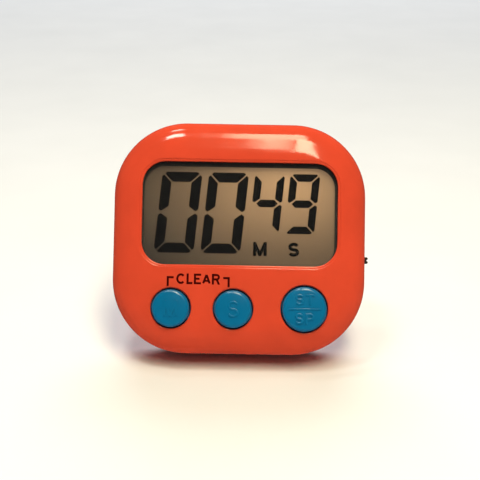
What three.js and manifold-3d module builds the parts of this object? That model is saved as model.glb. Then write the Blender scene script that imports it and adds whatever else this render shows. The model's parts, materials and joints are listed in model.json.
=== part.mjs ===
// A digital kitchen timer, leaning back on its own kickstand.
//
// Every piece is drawn in the upright case's frame, in millimetres: x to the right as the
// display is read, y from the front face towards the back, z up from the bottom edge.
// The whole timer is then tilted back until the bottom edge and the kickstand's foot stand
// on z = 0, with the front facing -Y.

import * as THREE from 'three';
import { mergeVertices } from 'three/addons/utils/BufferGeometryUtils.js';
import Module from 'manifold-3d';

const wasm = await Module();
wasm.setup();

// ---------------------------------------------------------------- driving dimensions

const leanAngle = THREE.MathUtils.degToRad(25);

const caseWidth = 70;
const caseHeight = 64.2;
const caseDepth = 18;
const topCornerRadius = 20;
const bottomCornerRadius = 21;
const partingDepth = 7;
const faceRollWidth = 8;
const faceRollDepth = 5.5;
const backEdgeRadius = 2.5;
const frontWall = 2;
const rearWall = 1.8;

const gap = 0.3;
const thinGap = 0.1;
const beyond = 1;

const windowBox = { left: -26.8, right: 26.9, bottom: 24.45, top: 52.85 };
const windowRadius = 6.4;
const windowLip = 1;
const lensOverlap = 1.2;
const lensThickness = 1;
const gasketThickness = 0.4;
const gasketOpening = { left: -26.4, right: 26.2, bottom: 24.25, top: 51.6 };

const displayHalfWidth = 28.2;
const displayTop = 54.2;
const displayBottom = 21.8;
const contactLedge = 2.6;
const glassThickness = 0.6;

const buttonTravel = 0.8;
const buttonProud = 1.3;
const buttonEdge = 0.8;
const buttonClearance = 0.4;
const flangeWidth = 1;
const flangeThickness = 0.8;
const plungerRadius = 2;
const plungerLength = 0.45;
const buttons = [
  { name: 'minute', x: -18.4, z: 12.5, radius: 5.1 },
  { name: 'second', x: -1.4, z: 12.5, radius: 5.1 },
  { name: 'start_stop', x: 18.05, z: 12.8, radius: 6.05 },
];

const boardFront = 5.2;
const boardThickness = 1;
const boardTop = 42.2;
const boardInset = 2.9;

const batteryRadius = 5.25;
const batteryLength = 44.5;
const batteryAxis = { y: 11.05, z: 49.3 };
const bayHalfWidth = 25.6;
const bayWall = 1;

const doorHalfWidth = 26.8;
const doorBottom = 42.2;
const doorTop = 56.2;
const doorThickness = 1.4;
const doorPinRadius = 0.45;
const doorPinEnd = doorHalfWidth + 1.2;

const standHalfWidth = 12;
const standHinge = { y: caseDepth - 1.3, z: 38 };
const standTipFolded = 3.2;
const standThickness = 2;
const standFlush = 0.1;
const standPinRadius = 0.8;
const standPinEnd = standHalfWidth + 1.5;
const standCornerRadius = 3.6;
const standRecessDepth = 2.6;
const stopGap = 0.12;

const magnetRadius = 6;
const magnetThickness = 2.9;
const magnetCentre = { x: 23.5, z: 31 };

const switchCentre = { y: 9.2, z: 26.7 };
const switchTravel = 2;
const switchNubHeight = 1.86;
const switchNubWidth = 1.6;
const switchProud = 1.3;

const piezoCentre = 22;
const piezoRadius = 10;

const topScrewPlaces = [[-16, 59.3], [16, 59.3]];
const bottomScrewPlaces = [[-28.5, 17.5], [28.5, 17.5]];
const caseScrewPlaces = [...topScrewPlaces, ...bottomScrewPlaces];
const boardScrewPlaces = [[-10, 5.6], [8.3, 5.6], [-30.2, 38], [30.2, 38]];
const casePostRadius = 2.3;
const boardPostRadius = 1.5;
const caseScrewRadius = 0.95;
const boardScrewRadius = 0.75;
const screwClearance = 0.2;
const wellRadius = 2.3;
const wellFloor = 12;

const cornerSteps = 8;
const roundSteps = 20;
const smallSteps = 12;

// ---------------------------------------------------------------- looks

const orangePlastic = { color: 0xe14a32, roughness: 0.25, metalness: 0 };
const bluePlastic = { color: 0x0c688b, roughness: 0.35, metalness: 0 };
const blackPlastic = { color: 0x141414, roughness: 0.5, metalness: 0 };
const clearPlastic = { color: 0xdfe4e2, roughness: 0.05, metalness: 0, transparent: true, opacity: 0.3 };
const displayGlass = { color: 0xb7a98c, roughness: 0.1, metalness: 0, transparent: true, opacity: 0.4 };
const reflectorLook = { color: 0xa08a6c, roughness: 0.35, metalness: 0.3 };
const rubberLook = { color: 0x2a2a2c, roughness: 0.9, metalness: 0 };
const siliconeLook = { color: 0xb9bcb6, roughness: 0.7, metalness: 0 };
const boardLook = { color: 0x8c6b34, roughness: 0.6, metalness: 0 };
const epoxyLook = { color: 0x101010, roughness: 0.3, metalness: 0 };
const ceramicLook = { color: 0xe6e2d6, roughness: 0.6, metalness: 0 };
const steelLook = { color: 0xb6b8ba, roughness: 0.3, metalness: 1 };
const brassLook = { color: 0xc8a24a, roughness: 0.35, metalness: 1 };
const magnetLook = { color: 0x77797d, roughness: 0.35, metalness: 1 };
const batteryLook = { color: 0x2f4a3a, roughness: 0.35, metalness: 0.4 };
const redInsulation = { color: 0xb0201c, roughness: 0.5, metalness: 0 };
const blackInsulation = { color: 0x1a1a1a, roughness: 0.5, metalness: 0 };

// ---------------------------------------------------------------- solids

/** A closed three.js geometry as a body that can be joined and cut. */
function solid(geometry) {
  geometry.deleteAttribute('normal');
  geometry.deleteAttribute('uv');
  const merged = mergeVertices(geometry);
  return new wasm.Manifold(new wasm.Mesh({
    numProp: 3,
    vertProperties: Float32Array.from(merged.attributes.position.array),
    triVerts: Uint32Array.from(merged.index.array),
  }));
}

/** A named mesh made of a body, with a material of its own. */
function part(name, body, look) {
  const { vertProperties, triVerts } = body.getMesh();
  const geometry = new THREE.BufferGeometry();
  geometry.setAttribute('position', new THREE.BufferAttribute(vertProperties, 3));
  geometry.setIndex(new THREE.BufferAttribute(triVerts, 1));
  geometry.computeVertexNormals();
  const mesh = new THREE.Mesh(geometry, new THREE.MeshStandardMaterial(look));
  mesh.name = name;
  return mesh;
}

/** The points of a box with round corners, anticlockwise from its lower right corner. */
function roundedBox(box, topRadius, bottomRadius = topRadius, steps = cornerSteps) {
  const corners = [
    { x: box.right - bottomRadius, z: box.bottom + bottomRadius, radius: bottomRadius, turn: -1 },
    { x: box.right - topRadius, z: box.top - topRadius, radius: topRadius, turn: 0 },
    { x: box.left + topRadius, z: box.top - topRadius, radius: topRadius, turn: 1 },
    { x: box.left + bottomRadius, z: box.bottom + bottomRadius, radius: bottomRadius, turn: 2 },
  ];
  const points = [];
  for (const { x, z, radius, turn } of corners) {
    for (let step = 0; step <= steps; step += 1) {
      const angle = (turn + step / steps) * Math.PI / 2;
      points.push(new THREE.Vector2(x + radius * Math.cos(angle), z + radius * Math.sin(angle)));
    }
  }
  return points;
}

/** The case's outline, drawn in by an inset all the way round. */
function caseOutline(inset) {
  const box = {
    left: inset - caseWidth / 2,
    right: caseWidth / 2 - inset,
    bottom: inset,
    top: caseHeight - inset,
  };
  return roundedBox(box, topCornerRadius - inset, bottomCornerRadius - inset);
}

/** A box grown by a margin on every side. */
function grown(box, margin) {
  return {
    left: box.left - margin,
    right: box.right + margin,
    bottom: box.bottom - margin,
    top: box.top + margin,
  };
}

/** A plate of the given outline between two depths of the case. */
function plate(points, front, back) {
  const geometry = new THREE.ExtrudeGeometry(new THREE.Shape(points), {
    depth: back - front,
    bevelEnabled: false,
  });
  geometry.translate(0, 0, -back);
  geometry.rotateX(Math.PI / 2);
  return solid(geometry);
}

/** A profile of depth and height, extruded across the case from one x to another. */
function crossBar(profile, left, right) {
  const shape = new THREE.Shape(profile.map(({ y, z }) => new THREE.Vector2(y, z)));
  const geometry = new THREE.ExtrudeGeometry(shape, { depth: right - left, bevelEnabled: false });
  geometry.translate(0, 0, left);
  geometry.applyMatrix4(new THREE.Matrix4().set(
    0, 0, 1, 0,
    1, 0, 0, 0,
    0, 1, 0, 0,
    0, 0, 0, 1,
  ));
  return solid(geometry);
}

/** A block between two corners of the case's frame. */
function block([left, front, bottom], [right, back, top]) {
  const geometry = new THREE.BoxGeometry(right - left, back - front, top - bottom);
  geometry.translate((left + right) / 2, (front + back) / 2, (bottom + top) / 2);
  return solid(geometry);
}

/** A round bar along the depth of the case. */
function post(x, z, radius, front, back, steps = roundSteps) {
  const geometry = new THREE.CylinderGeometry(radius, radius, back - front, steps);
  geometry.translate(x, (front + back) / 2, z);
  return solid(geometry);
}

/** A round bar across the case, from one x to another. */
function axle({ y, z }, radius, left, right, steps = roundSteps) {
  const geometry = new THREE.CylinderGeometry(radius, radius, right - left, steps);
  geometry.rotateZ(Math.PI / 2);
  geometry.translate((left + right) / 2, y, z);
  return solid(geometry);
}

/** A body turned about the depth axis, from its radius at each depth, front to back. */
function turned(profile, steps = roundSteps) {
  const points = profile.map(([radius, depth]) => new THREE.Vector2(radius, depth));
  return solid(new THREE.LatheGeometry(points, steps));
}

/** A body through outlines with the same number of points, listed from front to back. */
function loft(sections) {
  const count = sections[0].points.length;
  const positions = sections.flatMap(
    ({ points, depth }) => points.flatMap((point) => [point.x, depth, point.y]),
  );
  const index = [];
  for (let ring = 0; ring < sections.length - 1; ring += 1) {
    for (let step = 0; step < count; step += 1) {
      const near = ring * count + step;
      const next = ring * count + (step + 1) % count;
      index.push(near, near + count, next, next, near + count, next + count);
    }
  }
  const lastRing = (sections.length - 1) * count;
  for (const [a, b, c] of THREE.ShapeUtils.triangulateShape(sections[0].points, [])) {
    index.push(a, b, c, lastRing + c, lastRing + b, lastRing + a);
  }
  const geometry = new THREE.BufferGeometry();
  geometry.setAttribute('position', new THREE.Float32BufferAttribute(positions, 3));
  geometry.setIndex(index);
  return solid(geometry);
}

/** Sections that roll an edge over a quarter ellipse, from a flat face to the full outline. */
function rolledEdge({ faceDepth, rollWidth, rollDepth, inset, steps }) {
  const sections = [];
  for (let step = 0; step <= steps; step += 1) {
    const angle = (step / steps) * Math.PI / 2;
    sections.push({
      points: caseOutline(inset + rollWidth * (1 - Math.sin(angle))),
      depth: faceDepth + rollDepth * (1 - Math.cos(angle)),
    });
  }
  return sections;
}

/** A round tube along a curve. */
function tube(curve, radius, steps) {
  const section = new THREE.Shape();
  section.absarc(0, 0, radius, 0, 2 * Math.PI);
  return solid(new THREE.ExtrudeGeometry(section, {
    steps,
    curveSegments: 3,
    extrudePath: curve,
  }));
}

/** A wire along a smooth curve through the given places. */
function wire(places, radius) {
  const points = places.map((place) => new THREE.Vector3(...place));
  return tube(new THREE.CatmullRomCurve3(points), radius, 18);
}

// ---------------------------------------------------------------- front shell and window

/** The front half of the case, with the window, the button holes and the inner posts. */
function frontShell() {
  const outside = loft([
    ...rolledEdge({
      faceDepth: 0, rollWidth: faceRollWidth, rollDepth: faceRollDepth, inset: 0, steps: 6,
    }),
    { points: caseOutline(0), depth: partingDepth },
  ]);
  const innerRoll = 2.5;
  const inside = loft([
    ...rolledEdge({
      faceDepth: frontWall, rollWidth: innerRoll, rollDepth: innerRoll, inset: frontWall, steps: 3,
    }),
    { points: caseOutline(frontWall), depth: partingDepth + beyond },
  ]);
  const window = plate(roundedBox(windowBox, windowRadius), -beyond, frontWall + beyond);
  const seatBox = grown(windowBox, lensOverlap + gap);
  const lensSeat = plate(
    roundedBox(seatBox, windowRadius + lensOverlap), windowLip, frontWall + beyond,
  );
  let shell = outside.subtract(inside).subtract(window).subtract(lensSeat);
  for (const { x, z, radius } of buttons) {
    const hole = post(x, z, radius + buttonClearance, -beyond, frontWall + beyond, 32);
    shell = shell.subtract(hole);
  }
  shell = withPosts(shell, caseScrewPlaces, casePostRadius, partingDepth, caseScrewRadius);
  shell = withPosts(
    shell, boardScrewPlaces, boardPostRadius, boardFront - thinGap, boardScrewRadius,
  );
  return part('front_shell', shell, orangePlastic);
}

/** A front shell with screw posts standing on the inside of its face. */
function withPosts(shell, places, radius, end, screwRadius) {
  const root = frontWall - 0.4;
  const holeFloor = frontWall + 0.6;
  let result = shell;
  for (const [x, z] of places) {
    const hole = post(x, z, screwRadius + screwClearance, holeFloor, end + beyond, smallSteps);
    result = result.add(post(x, z, radius, root, end, 16)).subtract(hole);
  }
  return result;
}

const lensFront = windowLip + 0.05;
const gasketFront = lensFront + lensThickness + thinGap;

/** The clear window, set into the face from behind. */
function displayLens() {
  const outline = roundedBox(grown(windowBox, lensOverlap), windowRadius + lensOverlap - gap);
  return part('display_lens', plate(outline, lensFront, lensFront + lensThickness), clearPlastic);
}

/** The dark foam frame between the window and the display glass. */
function lensGasket() {
  const back = gasketFront + gasketThickness;
  const outer = plate(roundedBox(grown(windowBox, lensOverlap), 4, 4, 4), gasketFront, back);
  const inner = plate(
    roundedBox(gasketOpening, windowRadius - 0.8), gasketFront - beyond, back + beyond,
  );
  return part('lens_gasket', outer.subtract(inner), rubberLook);
}

// ---------------------------------------------------------------- display module

/** The display's sheets from front to back, and the rubber connector under the front glass. */
function displayModule() {
  const shortBottom = displayBottom + contactLedge;
  const sheets = [
    { name: 'front_polariser', thickness: 0.2, bottom: shortBottom, look: displayGlass },
    { name: 'lcd_front_glass', thickness: glassThickness, bottom: displayBottom, look: displayGlass },
    { name: 'lcd_rear_glass', thickness: glassThickness, bottom: shortBottom, look: displayGlass },
    { name: 'reflector_film', thickness: 0.15, bottom: shortBottom, look: reflectorLook },
  ];
  const parts = [];
  let front = gasketFront + gasketThickness + thinGap;
  for (const { name, thickness, bottom, look } of sheets) {
    const low = [-displayHalfWidth, front, bottom];
    const high = [displayHalfWidth, front + thickness, displayTop];
    parts.push(part(name, block(low, high), look));
    front += thickness + thinGap;
  }
  parts.push(zebraStrip());
  return parts;
}

/** The rubber connector strip between the front glass's lower ledge and the board. */
function zebraStrip() {
  const stripFront = gasketFront + gasketThickness + 0.2 + glassThickness + 3 * thinGap;
  const margin = 0.2;
  const halfLength = displayHalfWidth - 2.2;
  const strip = block(
    [-halfLength, stripFront, displayBottom + margin],
    [halfLength, boardFront - thinGap, displayBottom + contactLedge - 2 * margin],
  );
  return part('zebra_strip', strip, rubberLook);
}

// ---------------------------------------------------------------- buttons

const flangeFront = frontWall + 0.2;
const flangeBack = flangeFront + flangeThickness;
const plungerEnd = flangeBack + plungerLength;

/** A push button: a cap with a rounded edge, the flange that holds it in, and its plunger. */
function pushButton({ name, x, z, radius }) {
  const edgeSteps = 3;
  const rim = [];
  for (let step = 0; step <= edgeSteps; step += 1) {
    const angle = (step / edgeSteps) * Math.PI / 2;
    rim.push([
      radius - buttonEdge * (1 - Math.sin(angle)),
      -buttonProud + buttonEdge * (1 - Math.cos(angle)),
    ]);
  }
  const body = turned([
    [0, -buttonProud],
    ...rim,
    [radius, flangeFront],
    [radius + flangeWidth, flangeFront],
    [radius + flangeWidth, flangeBack],
    [plungerRadius, flangeBack],
    [plungerRadius, plungerEnd],
    [0, plungerEnd],
  ], 28);
  return part(`${name}_button`, body.translate([x, 0, z]), bluePlastic);
}

const pillBack = boardFront - buttonTravel - thinGap / 2;
const pillFront = pillBack - 0.2;
const pillRadius = 1.3;

/** The carbon pill inside a dome, which closes the contact on the board. */
function contactPill({ name, x, z }) {
  const body = post(x, z, pillRadius, pillFront, pillBack, smallSteps);
  return part(`${name}_contact_pill`, body, rubberLook);
}

/** The silicone sheet on the board, with a hollow dome under each button. */
function keyMembrane() {
  const sheetFront = boardFront - 0.6;
  const sheetBack = boardFront - thinGap;
  const domeFront = plungerEnd + 0.15;
  const hollowFront = pillFront - thinGap;
  const overlap = 0.2;
  const box = { left: -25.4, right: 25, bottom: 7.8, top: 20.6 };
  let sheet = plate(roundedBox(box, 3, 5, 4), sheetFront, sheetBack);
  for (const { x, z } of buttons) {
    const dome = turned([
      [0, domeFront], [2.4, domeFront], [4, sheetFront + overlap], [0, sheetFront + overlap],
    ], 16);
    const hollow = turned([
      [0, hollowFront], [1.8, hollowFront], [3.3, sheetBack + overlap], [0, sheetBack + overlap],
    ], 16);
    sheet = sheet.add(dome.translate([x, 0, z]));
    sheet = sheet.subtract(hollow.translate([x, 0, z]));
  }
  return part('key_membrane', sheet, siliconeLook);
}

// ---------------------------------------------------------------- circuit board

const boardBack = boardFront + boardThickness;
const partSeat = boardBack + thinGap;

/** The circuit board, cut round the case posts and drilled for its own screws. */
function circuitBoard() {
  const front = boardFront - beyond;
  const back = boardBack + beyond;
  let board = plate(caseOutline(boardInset), boardFront, boardBack);
  board = board.subtract(block([-caseWidth, front, boardTop], [caseWidth, back, caseHeight]));
  for (const [x, z] of bottomScrewPlaces) {
    board = board.subtract(post(x, z, casePostRadius + 0.4, front, back, 16));
  }
  for (const [x, z] of boardScrewPlaces) {
    board = board.subtract(post(x, z, boardScrewRadius + 0.25, front, back, smallSteps));
  }
  return part('circuit_board', board, boardLook);
}

/** A small flat component on the back of the board. */
function chip(name, x, z, [width, thickness, height], look) {
  const low = [x - width / 2, partSeat, z - height / 2];
  const high = [x + width / 2, partSeat + thickness, z + height / 2];
  return part(name, block(low, high), look);
}

/** The drop of epoxy over the timer's chip. */
function chipBlob() {
  const radius = 4.5;
  const height = 1.5;
  const profile = [[0, partSeat], [radius, partSeat], [radius * 0.8, partSeat + height * 0.6],
    [radius * 0.4, partSeat + height * 0.93], [0, partSeat + height]];
  return part('chip_blob', turned(profile).translate([0, 0, 30]), epoxyLook);
}

/** A drum coil that lifts the battery's voltage for the sounder. */
function boostCoil() {
  const top = partSeat + 5;
  const profile = [[0, partSeat], [3, partSeat], [3, partSeat + 0.8], [2.2, partSeat + 1],
    [2.2, top - 1], [3, top - 0.8], [3, top], [0, top]];
  return part('boost_coil', turned(profile).translate([-9, 0, 12]), rubberLook);
}

/** The transistor that drives the sounder, with its flat side. */
function driverTransistor() {
  const body = post(9, 12, 2.3, partSeat, partSeat + 4.4, 16);
  const flat = block([5, partSeat - 1, 13.2], [13, partSeat + 6, 16]);
  return part('driver_transistor', body.subtract(flat), epoxyLook);
}

/** Everything soldered to the back of the board, apart from the switch. */
function boardComponents() {
  const crystal = post(8, 0, 1, 0, 6, 12).rotate([90, 0, 0]);
  return [
    chipBlob(),
    boostCoil(),
    driverTransistor(),
    part('crystal_can', crystal.translate([0, partSeat + 1.05, 30]), steelLook),
    part('electrolytic_capacitor', axle({ y: partSeat + 2.05, z: 36 }, 2, -21, -14), blackPlastic),
    chip('chip_capacitor_1', -8, 24, [2, 0.8, 1.25], ceramicLook),
    chip('chip_capacitor_2', 12, 24, [2, 0.8, 1.25], ceramicLook),
    chip('chip_resistor_1', -8, 37, [2, 0.5, 1.25], epoxyLook),
    chip('chip_resistor_2', -4, 37, [2, 0.5, 1.25], epoxyLook),
  ];
}

// ---------------------------------------------------------------- power switch

const slotHalfWidth = switchNubWidth / 2 + gap;
const nubHalf = switchNubHeight / 2;
const slotTop = switchCentre.z + nubHalf + gap;
const slotBottom = switchCentre.z - switchTravel - nubHalf - gap;
const switchFace = 32.7;

/** The body of the slide switch, soldered at the board's right edge. */
function switchBody() {
  const box = block([28.4, partSeat + 0.05, 22.2], [switchFace, switchCentre.y + 2, 31]);
  const track = block(
    [30.2, switchCentre.y - slotHalfWidth, slotBottom],
    [switchFace + 1, switchCentre.y + slotHalfWidth, slotTop],
  );
  return part('switch_body', box.subtract(track), steelLook);
}

/** The switch's handle, which stands out of the case's side as two ridges and a groove. */
function switchHandle() {
  const tip = caseWidth / 2 + switchProud;
  const ridge = 0.25;
  const groove = 0.5;
  const outline = [
    [30.5, -nubHalf], [tip - ridge, -nubHalf], [tip, ridge - nubHalf], [tip, -groove * 0.7],
    [tip - groove, 0],
    [tip, groove * 0.7], [tip, nubHalf - ridge], [tip - ridge, nubHalf], [30.5, nubHalf],
  ].map(([x, z]) => new THREE.Vector2(x, switchCentre.z + z));
  const halfWidth = switchNubWidth / 2;
  const body = plate(outline, switchCentre.y - halfWidth, switchCentre.y + halfWidth);
  return part('switch_handle', body, blackPlastic);
}

// ---------------------------------------------------------------- rear shell

const backInside = caseDepth - rearWall;
const bayBox = {
  left: -bayHalfWidth,
  right: bayHalfWidth,
  bottom: batteryAxis.z - batteryRadius - 0.35,
  top: batteryAxis.z + batteryRadius + 0.35,
};
const bayFloor = batteryAxis.y - batteryRadius - gap;
const bayFront = 0.8;
const doorBox = { left: -doorHalfWidth, right: doorHalfWidth, bottom: doorBottom, top: doorTop };
const doorHinge = {
  y: caseDepth - standFlush - doorThickness / 2,
  z: doorBottom + doorThickness / 2,
};
const doorSeat = backInside;
const standBox = {
  left: -standHalfWidth,
  right: standHalfWidth,
  bottom: standTipFolded,
  top: standHinge.z + standThickness * 0.6,
};
const standFloor = caseDepth - standRecessDepth;
const standTubFront = standFloor - 1.4;
const magnetBack = caseDepth - 0.15;
const magnetSeat = magnetBack - magnetThickness - thinGap;
const batteryWireHole = { x: 24.3, y: 8, radius: 0.8 };

/** The walls that stand inside the rear shell round the hollows in its back. */
function innerWalls(envelope) {
  const root = backInside + beyond;
  const bay = plate(roundedBox(grown(bayBox, bayWall), 1, 1, 2), bayFloor - bayFront, root);
  const doorFrame = plate(roundedBox(grown(doorBox, 2.4), 4, 4, 4), doorSeat - 1.6, root);
  const standTub = plate(roundedBox(grown(standBox, 2.2), 2.5, 2.5, 3), standTubFront, root);
  let walls = doorFrame.add(standTub);
  for (const side of [-1, 1]) {
    const x = side * magnetCentre.x;
    walls = walls.add(post(x, magnetCentre.z, magnetRadius + 1.5, magnetSeat - 1.2, root));
  }
  for (const [x, z] of caseScrewPlaces) {
    walls = walls.add(post(x, z, wellRadius + 1, wellFloor - 2, root));
    walls = walls.add(post(x, z, casePostRadius - 0.2, partingDepth + gap, wellFloor));
  }
  return walls.intersect(envelope).add(bay);
}

/** The holes that let the sounder be heard: one in the middle of a ring. */
function soundHoles() {
  const holeRadius = 0.7;
  const ringRadius = 3.4;
  const count = 6;
  const hole = (x, z) => post(x, z, holeRadius, standTubFront - beyond, caseDepth, 10);
  const holes = [hole(0, piezoCentre)];
  for (let index = 0; index < count; index += 1) {
    const angle = (index / count) * 2 * Math.PI;
    holes.push(hole(ringRadius * Math.cos(angle), piezoCentre + ringRadius * Math.sin(angle)));
  }
  return holes;
}

/** Everything that is cut out of the rear shell from behind. */
function backHollows() {
  const outside = caseDepth + beyond;
  const nailDepth = 1.1;
  const pinClearance = 0.15;
  const hollows = [
    plate(roundedBox(bayBox, 0.6, 0.6, 2), bayFloor, outside),
    plate(roundedBox(grown(doorBox, 0.25), 3, 0.4, 3), doorSeat, outside),
    axle(doorHinge, doorPinRadius + pinClearance, -doorPinEnd - gap, doorPinEnd + gap, smallSteps),
    post(0, doorTop, 3.2, caseDepth - nailDepth, outside),
    plate(roundedBox(grown(standBox, gap), 0.6, standCornerRadius + gap, 4), standFloor, outside),
    axle(standHinge, standPinRadius + pinClearance, -standPinEnd - gap, standPinEnd + gap, 16),
    post(standHalfWidth, 9, 4, caseDepth - nailDepth, outside),
    ...soundHoles(),
  ];
  const { x: wireX, y: wireY, radius: wireRadius } = batteryWireHole;
  const throughBayWall = bayWall + 2 * beyond;
  for (const side of [-1, 1]) {
    const magnetX = side * magnetCentre.x;
    hollows.push(post(magnetX, magnetCentre.z, magnetRadius + 0.2, magnetSeat, outside));
    hollows.push(post(side * wireX, 0, wireRadius, 0, throughBayWall, smallSteps)
      .rotate([90, 0, 0])
      .translate([0, wireY, bayBox.bottom - bayWall - beyond]));
  }
  for (const [x, z] of caseScrewPlaces) {
    hollows.push(post(x, z, wellRadius, wellFloor, outside));
    hollows.push(post(x, z, caseScrewRadius + 0.25, partingDepth, wellFloor + beyond, smallSteps));
  }
  return hollows.reduce((joined, hollow) => joined.add(hollow));
}

/** The ribs along the rear shell's top and bottom that centre it in the front shell. */
function locatingRibs(front) {
  const halfLength = 10;
  const thickness = 1;
  const reach = front + 2;
  const ribs = [];
  for (const side of [-1, 1]) {
    const middle = caseHeight / 2;
    const outer = middle - rearWall + 0.3;
    const ribOuter = middle - frontWall - gap;
    const ribInner = ribOuter - thickness;
    const heights = (from, to) => [middle + side * from, middle + side * to].sort((a, b) => a - b);
    const [ribLow, ribHigh] = heights(ribInner, ribOuter);
    const [rootLow, rootHigh] = heights(ribInner, outer);
    ribs.push(block([-halfLength, boardBack + gap, ribLow], [halfLength, reach, ribHigh]));
    ribs.push(block([-halfLength, front + 0.4, rootLow], [halfLength, reach, rootHigh]));
  }
  return ribs;
}

/** The rear half of the case. */
function rearShell() {
  const front = partingDepth + 0.25;
  const backRoll = rolledEdge({
    faceDepth: 0, rollWidth: backEdgeRadius, rollDepth: backEdgeRadius, inset: 0, steps: 4,
  }).reverse().map(({ points, depth }) => ({ points, depth: caseDepth - depth }));
  const outside = loft([{ points: caseOutline(0), depth: front }, ...backRoll]);
  const inside = plate(caseOutline(rearWall), partingDepth - beyond, backInside);
  const switchSlot = block(
    [caseWidth / 2 - 2 * rearWall, switchCentre.y - slotHalfWidth, slotBottom],
    [caseWidth / 2 + beyond, switchCentre.y + slotHalfWidth, slotTop],
  );
  const shell = locatingRibs(front)
    .reduce((joined, rib) => joined.add(rib), outside.subtract(inside))
    .add(innerWalls(outside))
    .subtract(backHollows())
    .subtract(switchSlot);
  return part('rear_shell', shell, orangePlastic);
}

// ---------------------------------------------------------------- battery

const plateThickness = 0.35;
const plateGap = 0.2;
const positiveEnd = bayHalfWidth - plateGap - plateThickness - 0.2;
const negativeEnd = positiveEnd - batteryLength;

/** The AAA cell: a can with a round shoulder and its positive button. */
function battery() {
  const nubRadius = 1.9;
  const nubHeight = 0.9;
  const canLength = batteryLength - nubHeight;
  const profile = [
    [0, 0], [batteryRadius - 0.65, 0], [batteryRadius, 0.5], [batteryRadius, canLength - 0.6],
    [batteryRadius - 0.55, canLength], [nubRadius, canLength], [nubRadius, batteryLength - 0.2],
    [nubRadius - 0.2, batteryLength], [0, batteryLength],
  ];
  const cell = turned(profile, 28).rotate([0, 0, -90]);
  return part('battery', cell.translate([negativeEnd, batteryAxis.y, batteryAxis.z]), batteryLook);
}

/** A contact plate at one end of the battery bay: side 1 is the right end, -1 the left. */
function contactPlate(name, side) {
  const outer = bayHalfWidth - plateGap;
  const middle = side * (outer - plateThickness / 2);
  const halfDepth = 4.4;
  const body = block(
    [middle - plateThickness / 2, batteryAxis.y - halfDepth, bayBox.bottom + 0.4],
    [middle + plateThickness / 2, batteryAxis.y + halfDepth, bayBox.top - 0.4],
  );
  return part(name, body, steelLook);
}

/** The coil spring that presses the battery against its positive contact. */
function batterySpring() {
  const turns = 3;
  const wireRadius = 0.3;
  const wideRadius = 3.6;
  const narrowRadius = 2;
  const start = wireRadius + thinGap + plateGap + plateThickness - bayHalfWidth;
  const end = negativeEnd - thinGap - wireRadius;
  const coil = new THREE.Curve();
  coil.getPoint = (t, target = new THREE.Vector3()) => {
    const angle = 2 * Math.PI * turns * t;
    const radius = THREE.MathUtils.lerp(wideRadius, narrowRadius, t);
    return target.set(
      THREE.MathUtils.lerp(start, end, t),
      batteryAxis.y + radius * Math.cos(angle),
      batteryAxis.z + radius * Math.sin(angle),
    );
  };
  return part('battery_spring', tube(coil, wireRadius, turns * 14), steelLook);
}

/** The lead from one battery contact through the bay's wall to the board. */
function batteryLead(name, side, look) {
  const { x, y } = batteryWireHole;
  const route = [
    [side * x, y, bayBox.bottom + 0.5],
    [side * x, y, bayBox.bottom - bayWall - 0.6],
    [side * 22.5, 7.8, 40.5],
    [side * 20.5, 7.4, 39.4],
    [side * 20, partSeat + 0.2, 39],
  ];
  return part(name, wire(route, 0.5), look);
}

/** The lid over the battery, turning on two pins at its lower edge. */
function batteryDoor() {
  const half = doorThickness / 2;
  const box = {
    left: -doorHalfWidth,
    right: doorHalfWidth,
    bottom: 0,
    top: doorTop - doorHinge.z,
  };
  const panel = plate(roundedBox(box, 3, 0.01, 3), -half, half);
  const edge = axle({ y: 0, z: 0 }, half, -doorHalfWidth, doorHalfWidth, 16);
  const pins = axle({ y: 0, z: 0 }, doorPinRadius, -doorPinEnd, doorPinEnd, smallSteps);
  let grips = panel.add(edge).add(pins);
  for (let ridge = 0; ridge < 3; ridge += 1) {
    const z = 8.5 + ridge * 1.4;
    grips = grips.subtract(block([-5, half - 0.25, z], [5, half + 1, z + 0.6]));
  }
  return part('battery_door', grips, orangePlastic);
}

// ---------------------------------------------------------------- kickstand

/** The height of the case's lowest point once it leans back, from the upright frame's origin. */
function leaningFloor() {
  const centre = { y: caseDepth - backEdgeRadius, z: backEdgeRadius };
  return centre.z * Math.cos(leanAngle) - centre.y * Math.sin(leanAngle) - backEdgeRadius;
}

const standTipRadius = standThickness / 2;
const standInner = standHinge.y + standThickness - (caseDepth - standFlush);
const standReach = standHinge.z - standTipFolded - standTipRadius;

/** How far the kickstand swings out so that its foot is level with the case's bottom edge. */
function standOpening() {
  const hingeHeight = standHinge.z * Math.cos(leanAngle) - standHinge.y * Math.sin(leanAngle);
  const drop = hingeHeight - standTipRadius - leaningFloor();
  const offset = standTipRadius - standInner;
  const reach = Math.hypot(standReach, offset);
  return leanAngle + Math.acos(drop / reach) - Math.atan2(offset, standReach);
}

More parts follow.
